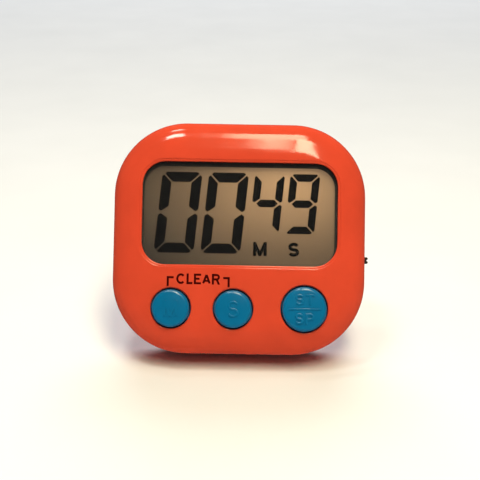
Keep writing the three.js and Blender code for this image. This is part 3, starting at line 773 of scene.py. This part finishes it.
def sound_holes():
    """The holes in front of the sounder: one in the middle of a ring of six."""
    spread, radius = 3.4, 0.7
    sounder = node_box("piezo_plate").middle
    places = curve_points(sounder.x, sounder.z, spread, spread, 0, 300, 5)
    return [circle(x, z, radius, steps=6) for x, z in ((sounder.x, sounder.z), *places)]


def scoop(x, z, radius, depth):
    """A ball that cuts a finger hollow of the given radius and depth into the back."""
    ball = (radius ** 2 + depth ** 2) / (2 * depth)
    profile = curve_points(0, 0, ball, ball, -90, 90, 24)
    return shifted(turned(profile, 48), x, DEPTH - depth + ball, z)


def sideways_bore(y, z, radius, half_length, centre=0.0):
    """A round bar across the case, to cut a bore for pins."""
    profile = [(0, -half_length), (radius, -half_length), (radius, half_length), (0, half_length)]
    return shifted(across(turned(profile, 24)), centre, y, z)


def hinge_pins(place, radius, shoulder, end):
    """A pin on each side of a flap, from 1 mm inside its shoulder out to the pin's end."""
    half = (end - shoulder + 1) / 2
    return [sideways_bore(place.y, place.z, radius, half, side * (end - half)) for side in (-1, 1)]


def hinge_bore(place, pin, end):
    """A bar that cuts both of a flap's pin holes, a little larger than its pins."""
    return sideways_bore(place.y, place.z, pin + PIN_PLAY, end + PIN_END_PLAY)


def switch_slot():
    """A bar that cuts the slot for the slide switch's handle, with room for its travel."""
    handle = node_box("switch_handle")
    travel = joints["power_slide"]["range_m"][1] / MM
    play = 0.3
    slot = block(
        WIDTH / 2 - 4, WIDTH / 2 + 1, handle.low.y - play, handle.high.y + play,
        handle.low.z - travel - play, handle.high.z + play,
    )
    return bar(slot, 0.25)


def rear_shell():
    """The rear half of the case, with every hollow in its back."""
    pockets = back_pockets()
    holes = sound_holes()
    for name in CASE_SCREWS:
        middle = node_box(name).middle
        holes.append(circle(middle.x, middle.z, SCREW_HOLE, steps=6))
    front_edge = PARTING + PARTING_GAP
    groove = TONGUE_INSET - 0.1

    def outside(x, z):
        depth = DEPTH - ellipse_drop(inset(x, z), BACK_ROLL, BACK_ROLL)
        for pocket in pockets:
            distance = pocket.outline.distance(x, z)
            if distance < -TINY / 2:
                depth = min(depth, pocket.floor)
            elif pocket.edge:
                depth -= fillet(distance, pocket.edge)
        return depth

    def inside(x, z):
        edge = inset(x, z)
        if edge < groove - TINY / 2:
            return front_edge + fillet(edge, RIM_EDGE)
        if edge < WALL + TINY / 2:
            return front_edge + TONGUE
        depth = DEPTH - WALL
        for pocket in pockets:
            if pocket.outline.distance(x, z) < pocket.wall - TINY / 2:
                depth = min(depth, pocket.floor - pocket.base)
        return depth

    rings = edge_rings(CASE_OUTLINE, BACK_ROLL, 10) + edge_rings(CASE_OUTLINE, RIM_EDGE, 3)
    rings += [CASE_OUTLINE.ring(-offset) for offset in (groove - TINY, groove, WALL, WALL + TINY)]
    for pocket in pockets:
        rings += [pocket.outline.ring(), pocket.outline.ring(-TINY)]
        rings += [pocket.outline.ring(pocket.wall), pocket.outline.ring(pocket.wall - TINY)]
        if pocket.edge:
            rings += edge_rings(pocket.outline, pocket.edge, 4, 1)
    openings = [hole.ring() for hole in holes]
    mesh = slab(CASE_OUTLINE.ring(), inside, outside, holes=openings, rings=rings)
    cutters = [
        switch_slot(),
        hinge_bore(door_hinge, DOOR_PIN, door_box.high.x),
        hinge_bore(hinge_place, STAND_PIN, node_box("kickstand").high.x),
        scoop(0, door_box.high.z, radius=3.2, depth=1.1),
        scoop(STAND_HALF, 9, radius=4, depth=1.1),
    ]
    mesh = combined(mesh, cutters, "DIFFERENCE")
    piece("rear_shell_skin", mesh, ORANGE, replaces=["rear_shell"])


# ---- window and display

def display_window():
    """The clear window, with a small chamfer round its edge."""
    chamfer = 0.1

    def edge(x, z):
        return max(0.0, chamfer + LENS_OUTLINE.distance(x, z))

    rings = [LENS_OUTLINE.ring(-chamfer)]
    mesh = sheet(LENS_OUTLINE.ring(), lens_box.low.y, lens_box.high.y, edge, rings=rings)
    piece("display_window", mesh, WINDOW, replaces=["display_lens"])


def window_gasket():
    """The dark foam frame behind the window; its opening is a little smaller than the window, and the
    band it shows is partly painted shade.
    """
    box = node_box("lens_gasket")
    # The foam frame is a real part, but its opening is set in so that a dark band shows inside the
    # window's lip: partly painted shade, standing in for the shade that the lip casts.
    opening = Outline(-26.4, 26.2, 24.25, 51.6, 5.6, 5.6, steps=10)
    edge = 0.08

    def soft(x, z):
        return fillet(opening.distance(x, z), edge)

    mesh = sheet(
        box_outline(box, 4, steps=6).ring(), box.low.y, box.high.y, soft,
        holes=[opening.ring()], rings=edge_rings(opening, edge, 2, 1),
    )
    piece("window_gasket", mesh, FOAM, replaces=["lens_gasket"])


def display_cell():
    """The display's front glass with its polariser, and the ledge for the rubber connector."""
    polariser = node_box("front_polariser")
    glass = node_box("lcd_front_glass")
    ledge = polariser.low.z
    outline = box_outline(glass, 0.3, steps=3)
    step = 0.01

    def front(x, z):
        return polariser.low.y if z > ledge - step / 2 else glass.low.y

    lines = [((glass.low.x, z), (glass.high.x, z)) for z in (ledge, ledge - step)]
    mesh = slab(outline.ring(), front, lambda x, z: glass.high.y, lines=lines)
    piece(
        "display_front_glass", mesh, CELL_GLASS,
        replaces=["front_polariser", "lcd_front_glass"],
    )


@dataclass(frozen=True)
class Digit:
    """The size of one seven-segment digit."""

    width: float
    height: float
    stroke: float
    bottom: float


SEGMENT_GAP = 0.35
# The digits lean to the right by this share of their height above the level.
SLANT = 0.094
SLANT_LEVEL = 39.0
# The segments that each figure lights, named clockwise from the top, with g in the middle.
LIT = {"0": "abcdef", "4": "bcfg", "9": "abcdfg"}
LARGE = Digit(width=11.1, height=22.5, stroke=2.77, bottom=27.75)
SMALL = Digit(width=8.3, height=16.65, stroke=2.08, bottom=33.5)
# Each figure, its size and its left edge at the slant's level.
SHOWN = (("0", LARGE, -22.65), ("0", LARGE, -9.73), ("4", SMALL, 3.1), ("9", SMALL, 12.9))
# Each letter under the small digits, with its left and right edges.
UNITS = (("M", 3.85, 7.65), ("S", 13.55, 16.65))
UNIT_BOTTOM, UNIT_TOP = 27.2, 31.1
UNIT_STROKE = 0.9


def mirrored(half, width):
    """A whole outline from the left half of one that is alike on both sides."""
    return half + [(width - x, z) for x, z in reversed(half)]


def segment_outline(name, digit):
    """One segment's outline, upright, from the digit's lower left corner."""
    half_gap = SEGMENT_GAP / math.sqrt(2)
    width, height, stroke = digit.width, digit.height, digit.stroke
    clip, middle = 0.48 * stroke, height / 2
    near, far = (clip - half_gap) / 2, (clip + half_gap) / 2
    corner = stroke + half_gap
    bar_across = mirrored([(corner, height - stroke), (far, height - near), (clip, height)], width)
    upright = [
        (near, height - far), (0, height - clip), (0, middle + clip * 0.7),
        (clip * 0.6, middle + SEGMENT_GAP / 2 + 0.1), (stroke, middle + stroke / 2 + SEGMENT_GAP),
        (stroke, height - corner),
    ]
    tip, half = clip + SEGMENT_GAP / 2, stroke / 2
    crossbar = mirrored(
        [(tip + half, middle - half), (tip, middle), (tip + half, middle + half)], width,
    )
    base = {"a": bar_across, "d": bar_across, "g": crossbar}.get(name, upright)
    if name in "bc":
        base = [(width - x, z) for x, z in base]
    if name in "cde":
        base = [(x, height - z) for x, z in base]
    return base


def anticlockwise(points):
    """An outline's points, reversed if they run clockwise."""
    area = sum(a[0] * b[1] - b[0] * a[1] for a, b in zip(points, [*points[1:], points[0]]))
    return points if area > 0 else points[::-1]


def display_digits():
    """The time on the display, minutes large and seconds small, with M and S under the seconds."""
    gap_front, gap_back = node_box("lcd_front_glass").high.y, node_box("lcd_rear_glass").low.y
    thickness = (gap_back - gap_front) * 0.3
    front = gap_back - 2 * thickness
    for number, (figure, digit, left) in enumerate(SHOWN, start=1):
        meshes = []
        for name in LIT[figure]:
            outline = []
            for x, z in segment_outline(name, digit):
                height = digit.bottom + z
                outline.append((left + x + SLANT * (height - SLANT_LEVEL), height))
            meshes.append(sheet(anticlockwise(outline), front, front + thickness))
        piece(f"digit_{number}_segments", joined(meshes), SEGMENT)
    for name, left, right in UNITS:
        span = block(left, right, front, front + thickness, UNIT_BOTTOM, UNIT_TOP)
        mesh = letter(name, span, UNIT_STROKE)
        piece(f"display_letter_{name}", mesh, SEGMENT)


# ---- lettering

def bowl(level):
    """The closed upper loop of P and R, down to the level of its lower bar."""
    radius = (1 - level) / 2
    arc = curve_points(0.62, level + radius, 0.38, radius, 90, -90)
    return [(-0.1, 1), *arc, (-0.1, level)]


STEM = [(0, -0.2), (0, 1.2)]
# Each letter's centre lines, in a box one wide and one high. Ends past the box are clipped.
LETTERS = {
    "A": [[(0, 0), (0.5, 1)], [(0.5, 1), (1, 0)], [(0.1, 0.3), (0.9, 0.3)]],
    "C": [curve_points(0.5, 0.5, 0.5, 0.5, 42, 318, 20)],
    "E": [STEM, [(0, 0), (1.2, 0)], [(0, 0.52), (0.9, 0.52)], [(0, 1), (1.2, 1)]],
    "L": [STEM, [(0, 0), (1.2, 0)]],
    "M": [
        STEM, [(1, -0.2), (1, 1.2)], [(-0.05, 1.15), (0.54, -0.12)],
        [(0.46, -0.12), (1.05, 1.15)],
    ],
    "P": [STEM, bowl(0.44)],
    "R": [STEM, bowl(0.48), [(0.62, 0.5), (1.05, -0.15)]],
    "S": [
        curve_points(0.5, 0.745, 0.48, 0.255, 22, 270, 14)
        + curve_points(0.5, 0.245, 0.5, 0.245, 90, -158, 14)[1:],
    ],
    "T": [[(-0.2, 1), (1.2, 1)], [(0.5, -0.2), (0.5, 1)]],
}


def thick_line(points, width):
    """The outline of a line of even width through some points."""
    left, right = [], []
    for before, point, after in zip([points[0], *points], points, [*points[1:], points[-1]]):
        along = (Vector(after) - Vector(before)).normalized()
        side = Vector((-along.y, along.x)) * width / 2
        left.append(Vector(point) + side)
        right.append(Vector(point) - side)
    return right + left[::-1]


def letter(name, span, stroke):
    """One raised or printed letter that fills a box, reading from the front."""
    left, right, bottom, top = span.low.x, span.high.x, span.low.z, span.high.z
    clip = [Vector((left, bottom)), Vector((right, bottom)), Vector((right, top)), Vector((left, top))]
    width, height = span.size.x - stroke, span.size.z - stroke
    strokes = []
    for line in LETTERS[name]:
        placed = [(left + stroke / 2 + width * x, bottom + stroke / 2 + height * z) for x, z in line]
        strokes.append(thick_line(placed, stroke))
    return merged(clip, strokes, span.low.y, span.high.y)


def merged(clip, shapes, front, back):
    """A flat body where any of the shapes lies inside the clip outline."""
    points, faces = [], []
    for shape in (clip, *shapes):
        faces.append(list(range(len(points), len(points) + len(shape))))
        points.extend(shape)

    def wanted(within):
        return 0 in within and len(set(within)) > 1

    return filled(points, [], faces, wanted, lambda x, z: front, lambda x, z: back)


def word(text, span, stroke, spacing, widths=None):
    """Letters in a row that fill a box; widths may give how wide each is against the others."""
    shares = [(widths or {}).get(name, 1.0) for name in text]
    unit = (span.size.x - spacing * (len(text) - 1)) / sum(shares)
    meshes = []
    left = span.low.x
    for name, share in zip(text, shares):
        right = left + unit * share
        box = block(left, right, span.low.y, span.high.y, span.low.z, span.high.z)
        meshes.append(letter(name, box, stroke))
        left = right + spacing
    return meshes


def softened(mesh, width):
    """A flat raised shape with its front edges rounded."""
    built = bmesh.new()
    built.from_mesh(mesh)
    front = min(vertex.co.y for vertex in built.verts)
    flat = [face for face in built.faces if all(v.co.y - front < TINY / 10 for v in face.verts)]
    rim = [
        edge for face in flat for edge in face.edges
        if sum(linked in flat for linked in edge.link_faces) == 1
    ]
    return bevelled(built, list(dict.fromkeys(rim)), width)


# ---- buttons and print

def key_cap(key):
    """A push button: a slightly crowned cap with a rounded edge, its flange and its plunger."""
    edge = 1.0
    crown = 0.2
    front = key.box.low.y
    back = key.box.high.y
    flat = key.radius - edge
    profile = [(flat * s / 6, front + crown * (s / 6) ** 2) for s in range(7)]
    drop = edge - crown
    profile += curve_points(flat, front + edge, edge, drop, -90, 0, 8)[1:]
    flange_front = FRONT_WALL + 0.2
    flange_back = flange_front + 0.8
    profile += [
        (key.radius, flange_front), (key.radius + FLANGE, flange_front),
        (key.radius + FLANGE, flange_back), (2, flange_back), (2, back), (0, back),
    ]
    mesh = shifted(turned(profile), key.x, 0, key.z)
    piece(
        f"{key.name}_cap", mesh, BLUE, body=f"{key.name}_key",
        replaces=[f"{key.name}_button"],
    )


# A dome is this wide from its middle at the plunger and at the sheet.
DOME_TOP = 2.4
DOME_FOOT = 4.0
DOME_WALL = 0.65
SHEET_THICKNESS = 0.5
SLACK = 0.05


def key_dome(key, membrane):
    """The hollow silicone dome under a push button."""
    pill = node_box(f"{key.name}_contact_pill")
    front, back = membrane.low.y, membrane.high.y
    shoulder, ceiling = back - SHEET_THICKNESS, pill.low.y - 2 * SLACK
    profile = [
        (0, front), (DOME_TOP, front), (DOME_FOOT, shoulder), (DOME_FOOT, back),
        (DOME_FOOT - DOME_WALL, back), (DOME_TOP - DOME_WALL, ceiling), (0, ceiling),
    ]
    mesh = shifted(turned(profile, 48), key.x, 0, key.z)
    dome = piece(f"{key.name}_dome", mesh, SILICONE)
    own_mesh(dome)


def key_membrane():
    """The silicone sheet on the board, with a hole for the foot of each dome."""
    membrane = node_box("key_membrane")
    outline = box_outline(membrane, 3, steps=6)
    back = membrane.high.y
    holes = [circle(key.x, key.z, DOME_FOOT + SLACK / 5).ring() for key in KEYS]
    mesh = sheet(outline.ring(), back - SHEET_THICKNESS, back, holes=holes)
    piece("membrane_sheet", mesh, SILICONE, replaces=["key_membrane"])
    for key in KEYS:
        key_dome(key, membrane)


MARK_HEIGHT = 0.15


def mark_span(key, width, height, rise=0.0, depth=MARK_HEIGHT):
    """The box of a raised mark on a push button, centred so far above the button's middle."""
    front = key.box.low.y
    middle = key.z + rise
    return block(
        key.x - width / 2, key.x + width / 2, front - MARK_HEIGHT, front + depth,
        middle - height / 2, middle + height / 2,
    )


def raised_mark(name, text, key, span):
    """Raised letters on a push button, with their front edges rounded."""
    stroke, spacing, edge = 0.62, 0.5, 0.07
    mesh = joined([softened(mesh, edge) for mesh in word(text, span, stroke, spacing)])
    piece(name, mesh, BLUE, body=f"{key.name}_key")


def button_marks():
    """The raised marks on the push buttons."""
    minute, second, start_stop = KEYS
    raised_mark("minute_mark", "M", minute, mark_span(minute, 3.8, 4.3))
    raised_mark("second_mark", "S", second, mark_span(second, 3.1, 4.5))
    raised_mark("start_mark", "ST", start_stop, mark_span(start_stop, 5.2, 3.0, rise=2.6))
    raised_mark("stop_mark", "SP", start_stop, mark_span(start_stop, 5.2, 3.0, rise=-2.6))
    line = bar(mark_span(start_stop, 8.6, 0.44, depth=2 * MARK_HEIGHT), 0.08, 2)
    piece("start_stop_bar", line, BLUE, body="start_stop_key")


def face_print():
    """The printed word over the first two buttons and the two lines that tie it to them."""
    film = 0.02
    stroke = 0.58
    widths = {"C": 1.15, "L": 0.78, "E": 0.9, "A": 1.08, "R": 1.0}
    letters = word("CLEAR", block(-17.0, -5.1, -film, film, 19.1, 22.0), stroke, 0.3, widths)
    piece("clear_legend", joined(letters), INK)
    level, foot = 21.2, 18.45
    for name, corner, end in (("left", -19.6, -17.7), ("right", -2.4, -4.2)):
        inner = corner + math.copysign(stroke, end - corner)
        outline = [
            (corner, foot), (inner, foot), (inner, level - stroke), (end, level - stroke),
            (end, level), (corner, level),
        ]
        mesh = sheet(anticlockwise(outline), -film, film)
        piece(f"{name}_legend_line", mesh, INK)


# ---- switch, door and stand

def switch_knob():
    """The slide switch's handle, with two ridges and the groove between them."""
    box = node_box("switch_handle")
    middle = box.middle.z
    half = box.size.z / 2
    ridge, groove = 0.25, 0.5
    right = box.high.x
    upper = [
        (right - groove, 0), (right, groove * 0.7), (right, half - ridge), (right - ridge, half),
        (box.low.x, half),
    ]
    outline = [(x, middle + z) for x, z in upper]
    outline += [(x, middle - z) for x, z in reversed(upper[1:])]
    built = bmesh.new()
    built.from_mesh(sheet(anticlockwise(outline), box.low.y, box.high.y))
    bmesh.ops.dissolve_limit(built, angle_limit=0.01, verts=built.verts, edges=built.edges)
    piece(
        "switch_knob", bevelled(built, built.edges[:], 0.15), BLACK, body="power_slider",
        replaces=["switch_handle"],
    )


GRIP_HALF = 5.0
GROOVE_PITCH = 1.5
GROOVE_WIDTH = 0.8
GROOVE_DEPTH = 0.25


def groove_depth(x, z, first):
    """How deep the three soft grip grooves are at a place; first is the lowest one's height."""
    if abs(x) >= GRIP_HALF:
        return 0.0
    for index in range(3):
        offset = abs(z - first - index * GROOVE_PITCH)
        if offset < GROOVE_WIDTH / 2:
            return GROOVE_DEPTH * math.cos(math.pi * offset / GROOVE_WIDTH)
    return 0.0


def groove_lines(first):
    """The mesh lines that the grip grooves need, along them and across their ends."""
    half = GRIP_HALF - TINY
    lines = []
    for index in range(3):
        for step in range(-4, 5):
            z = first + index * GROOVE_PITCH + step / 8 * GROOVE_WIDTH
            lines.append(((-half, z), (half, z)))
    for x in (-GRIP_HALF, -half, GRIP_HALF, half):
        lines.append(((x, first - 1), (x, first + 2 * GROOVE_PITCH + 1)))
    return lines


def battery_door():
    """The lid over the battery, with its grip grooves and hinge pins."""
    outline = Outline(
        -DOOR_HALF, DOOR_HALF, door_box.low.z, door_box.high.z, DOOR_CORNER, 0.3, steps=8,
    )
    outer, inner = door_box.high.y, door_box.low.y
    edge, hinge_edge = 0.3, 0.65
    first = door_hinge.z + 8.5

    def rounded(x, z):
        side = fillet(-outline.distance(x, z), edge)
        return max(side, fillet(z - outline.bottom, hinge_edge))

    def outside(x, z):
        return outer - rounded(x, z) - groove_depth(x, z, first)

    lines = groove_lines(first)
    for offset in fillet_offsets(hinge_edge, 5)[:-1]:
        z = outline.bottom + offset
        lines.append(((outline.left + edge, z), (outline.right - edge, z)))
    panel = slab(
        outline.ring(), lambda x, z: inner + rounded(x, z), outside,
        rings=edge_rings(outline, edge, 4), lines=lines,
    )
    pins = hinge_pins(door_hinge, DOOR_PIN, DOOR_HALF, door_box.high.x)
    mesh = combined(panel, pins, "UNION")
    piece("battery_lid", mesh, ORANGE, body="door", replaces=["battery_door"])


def kickstand():
    """The kickstand, swung out to its stop, with a round foot and three grip grooves."""
    outer, inner = STAND_OUTER, -STAND_INNER
    bottom = STAND_TIP - hinge_place.z + TINY / 2
    top = outer - 0.05
    heel = 0.9
    outline = Outline(-STAND_HALF, STAND_HALF, bottom, top, 0.4, STAND_CORNER, steps=10)
    side_edge, foot_edge = 0.5, 0.97
    foot_height, blend_height = 7, 4
    first = bottom + 3.4

    def side_drop(x, z):
        if z >= 0:
            return fillet(STAND_HALF - abs(x), side_edge)
        share = min(1.0, max(0.0, (bottom + foot_height - z) / blend_height))
        return fillet(-outline.distance(x, z), side_edge + (foot_edge - side_edge) * share)

    def outside(x, z):
        shoulder = math.sqrt(outer ** 2 - max(z, 0) ** 2)
        return shoulder - side_drop(x, z) * shoulder / outer - groove_depth(x, z, first)

    def inside(x, z):
        ramp = max(0.0, z - heel) / (outer - heel)
        return (inner + side_drop(x, z)) * (1 - ramp)

    lines = groove_lines(first)
    for z in (0, 0.3, 0.55, 0.75, heel, 1.05):
        lines.append(((1 - STAND_HALF, z), (STAND_HALF - 1, z)))
    rings = edge_rings(outline, foot_edge, 7)
    flap = slab(outline.ring(), inside, outside, rings=rings, lines=lines)
    pins = hinge_pins(Vector(), STAND_PIN, STAND_HALF, node_box("kickstand").high.x)
    mesh = combined(flap, pins, "UNION")
    swing = Matrix.Translation((0, hinge_place.y, hinge_place.z))
    mesh.transform(swing @ Matrix.Rotation(STAND_OPENING, 4, "X"))
    piece("stand_flap", mesh, ORANGE, body="stand", replaces=["kickstand"])


# ---- magnets, screws, battery

def magnets():
    """The two round magnets, with a small chamfer round their faces."""
    chamfer = 0.25
    for name in ("left_magnet", "right_magnet"):
        box = node_box(name)
        radius = box.size.x / 2
        profile = [
            (0, box.low.y), (radius - chamfer, box.low.y), (radius, box.low.y + chamfer),
            (radius, box.high.y - chamfer), (radius - chamfer * 0.3, box.high.y - chamfer * 0.3),
            (radius - chamfer, box.high.y), (0, box.high.y),
        ]
        mesh = shifted(turned(profile, 72), box.middle.x, 0, box.middle.z)
        piece(f"{name}_disc", mesh, MAGNET, replaces=[name])


def case_screws():
    """The four screws in the back, with domed heads and a cross recess."""
    for name in CASE_SCREWS:
        box = node_box(name)
        radius = box.size.x / 2
        seat = SCREW_SEAT + 0.1
        rim = seat + 0.5
        top = box.high.y
        shaft = 0.95
        profile = [
            (0, box.low.y), (shaft * 0.5, box.low.y + 0.1), (shaft, box.low.y + 1), (shaft, seat),
            (radius, seat), (radius, rim),
        ]
        profile += curve_points(0, rim, radius, top - rim, 0, 90, 8)[1:]
        arm, width, floor = 1.15, 0.2, top - 0.75
        recess = [
            bar(block(-across_half, across_half, floor, top + 1, -up_half, up_half), 0.05, 1)
            for across_half, up_half in ((arm, width), (width, arm))
        ]
        mesh = combined(turned(profile, 48), recess, "DIFFERENCE")
        mesh = shifted(mesh, box.middle.x, 0, box.middle.z)
        piece(f"{name}_fine", mesh, STEEL, replaces=[name])


def battery_cell():
    """The battery: a printed wrap round the can, its bare ends and the positive button."""
    radius = battery_box.size.y / 2
    length = battery_box.size.x
    button, button_height = 1.9, 0.9
    shoulder = length - button_height
    wrap = 0.05

    def placed(profile):
        mesh = across(turned(profile, 72))
        return shifted(mesh, battery_box.low.x, battery_box.middle.y, battery_box.middle.z)

    can = radius - wrap
    ends = [
        (0, 0.15), (can - 1.4, 0.15), (can - 1.2, 0), (can - 0.6, 0), (can - 0.15, 0.15),
        (can, 0.6), (can, shoulder - 0.6), (can - 0.2, shoulder - 0.15), (can - 0.6, shoulder),
        (button + 0.4, shoulder), (button, shoulder + 0.2), (button, length - 0.25),
        (button - 0.07, length - 0.07), (button - 0.25, length), (0, length),
    ]
    piece("battery_can", placed(ends), STEEL, replaces=["battery"])
    sleeve = [
        (can - 0.4, 0.05), (can - 0.1, 0.1), (radius, 0.5), (radius, shoulder - 0.5),
        (can - 0.1, shoulder - 0.1), (can - 0.4, shoulder + 0.04), (can - 0.45, shoulder),
        (can - 0.02, shoulder - 0.4), (can - 0.02, 0.4), (can - 0.45, 0.12), (can - 0.4, 0.05),
    ]
    piece("battery_wrap", placed(sleeve), WRAP)


INNER_LOOKS = (
    (FILM, ("lcd_rear_glass", "reflector_film")),
    (FOAM, ("zebra_strip", "boost_coil", *(f"{name}_contact_pill" for name in BUTTONS))),
    (BOARD, ("circuit_board",)),
    (EPOXY, ("chip_blob", "driver_transistor", "chip_resistor_1", "chip_resistor_2")),
    (BLACK, ("electrolytic_capacitor",)),
    (CERAMIC, ("piezo_ceramic", "chip_capacitor_1", "chip_capacitor_2")),
    (STEEL, ("switch_body", "crystal_can", "battery_spring", "positive_contact", "negative_contact")),
    (STEEL, [f"board_screw_{number}" for number in range(1, 5)]),
    (BRASS, ("piezo_plate",)),
    (RED_WIRE, ("red_battery_lead", "piezo_ceramic_lead")),
    (BLACK_WIRE, ("black_battery_lead", "piezo_plate_lead")),
)


def dress_inner_parts():
    """Gives everything that stays as the frame has it its material."""
    for look, names in INNER_LOOKS:
        for name in names:
            slots = frame["nodes"][name].data.materials
            slots.clear()
            slots.append(look)


# ---- stage

VIEW_DISTANCE = 0.280
VIEW_ELEVATION = math.radians(21.7)
VIEW_ROLL = math.radians(1.0)
VIEW_SHIFT = (0.0015, -0.0026)
# The lens's focal length as a share of the picture's width.
FOCAL_SHARE = 2.08417
# The depth at which the case is widest, which the camera aims at.
SILHOUETTE_DEPTH = 6.4


def camera():
    """The camera, a little below square on to the leaning face."""
    target = CASE @ Vector((0, SILHOUETTE_DEPTH, HEIGHT / 2))
    back = Vector((0, -math.cos(VIEW_ELEVATION), math.sin(VIEW_ELEVATION)))
    data = bpy.data.cameras.new("camera")
    data.lens = data.sensor_width * FOCAL_SHARE
    data.shift_x, data.shift_y = VIEW_SHIFT
    made = in_scene("camera", data)
    aim = (-back).to_track_quat("-Z", "Y").to_matrix() @ Matrix.Rotation(VIEW_ROLL, 3, "Z")
    made.matrix_world = Matrix.Translation(target + back * VIEW_DISTANCE) @ aim.to_4x4()
    scene.camera = made


LAMP_HEIGHT = 0.6
WARM = (1.0, 0.87, 0.58)
WARM_WHITE = (1.0, 0.92, 0.8)
PALE_WHITE = (1.0, 0.97, 0.94)


def lamp_panel(name, low, high, brightness, colour):
    """A flat soft light overhead that faces down, between two corners, and doesn't show itself."""
    data = bpy.data.lights.new(name, "AREA")
    data.shape = "RECTANGLE"
    data.size, data.size_y = high[0] - low[0], high[1] - low[1]
    data.energy = brightness * math.pi * data.size * data.size_y
    data.color = colour
    made = in_scene(name, data)
    made.location = ((low[0] + high[0]) / 2, (low[1] + high[1]) / 2, LAMP_HEIGHT)
    made.visible_camera = False
    return made


def floor():
    """A plain pale floor, which gloss and the window don't show."""
    half = 0.8
    built = bmesh.new()
    corners = ((-half, -half), (half, -half), (half, half), (-half, half))
    built.faces.new([built.verts.new((x, y, 0)) for x, y in corners])
    mesh = as_mesh(built)
    paint = Paint("pale_floor")
    paint.colours(paint.noise(60), (0.82, 0.87, 0.93, 1), (0.85, 0.9, 0.96, 1))
    paint.roughness(paint.noise(20), 0.75, 0.9)
    mesh.materials.append(paint.material)
    made = in_scene("floor", mesh)
    made.visible_glossy = False
    made.visible_transmission = False


def surroundings():
    """A faint even light from all round, and a pale backdrop beyond the floor."""
    world = bpy.data.worlds.new("surroundings")
    world.use_nodes = True
    nodes, links = world.node_tree.nodes, world.node_tree.links
    seen = nodes.new("ShaderNodeLightPath").outputs["Is Camera Ray"]
    mix = nodes.new("ShaderNodeMixShader")
    links.new(seen, mix.inputs["Fac"])
    for place, strength in ((1, 0.08), (2, 0.85)):
        background = nodes.new("ShaderNodeBackground")
        background.inputs["Color"].default_value = (*PALE_WHITE, 1)
        background.inputs["Strength"].default_value = strength
        links.new(background.outputs["Background"], mix.inputs[place])
    links.new(mix.outputs["Shader"], nodes["World Output"].inputs["Surface"])
    scene.world = world


def lights():
    """Warm panels above and to the right, two small lamps on the left, and a wide light behind."""
    lamp_panel("key_near", (0.06, -0.6), (0.17, -0.17), 19, WARM)
    lamp_panel("key_gap", (0.015, -0.5), (0.04, -0.17), 15, WARM)
    lamp_panel("key_far", (-0.01, -0.19), (0.13, -0.02), 14, WARM)
    lamp_panel("left_near", (-0.2, -0.13), (-0.07, -0.06), 24, WARM_WHITE)
    lamp_panel("left_far", (-0.17, 0.09), (-0.08, 0.14), 24, WARM_WHITE)
    back = lamp_panel("back", (-0.8, 0.9), (0.8, 2.1), 4.4, PALE_WHITE)
    back.location.z = 1.2
    back.rotation_euler.x = math.radians(-42)
    back.visible_glossy = False


camera()
floor()
surroundings()
lights()
scene.view_settings.view_transform = "Standard"

front_shell()
rear_shell()
display_window()
window_gasket()
display_cell()
display_digits()
for push in KEYS:
    key_cap(push)
key_membrane()
button_marks()
face_print()
switch_knob()
battery_door()
kickstand()
magnets()
case_screws()
battery_cell()
dress_inner_parts()
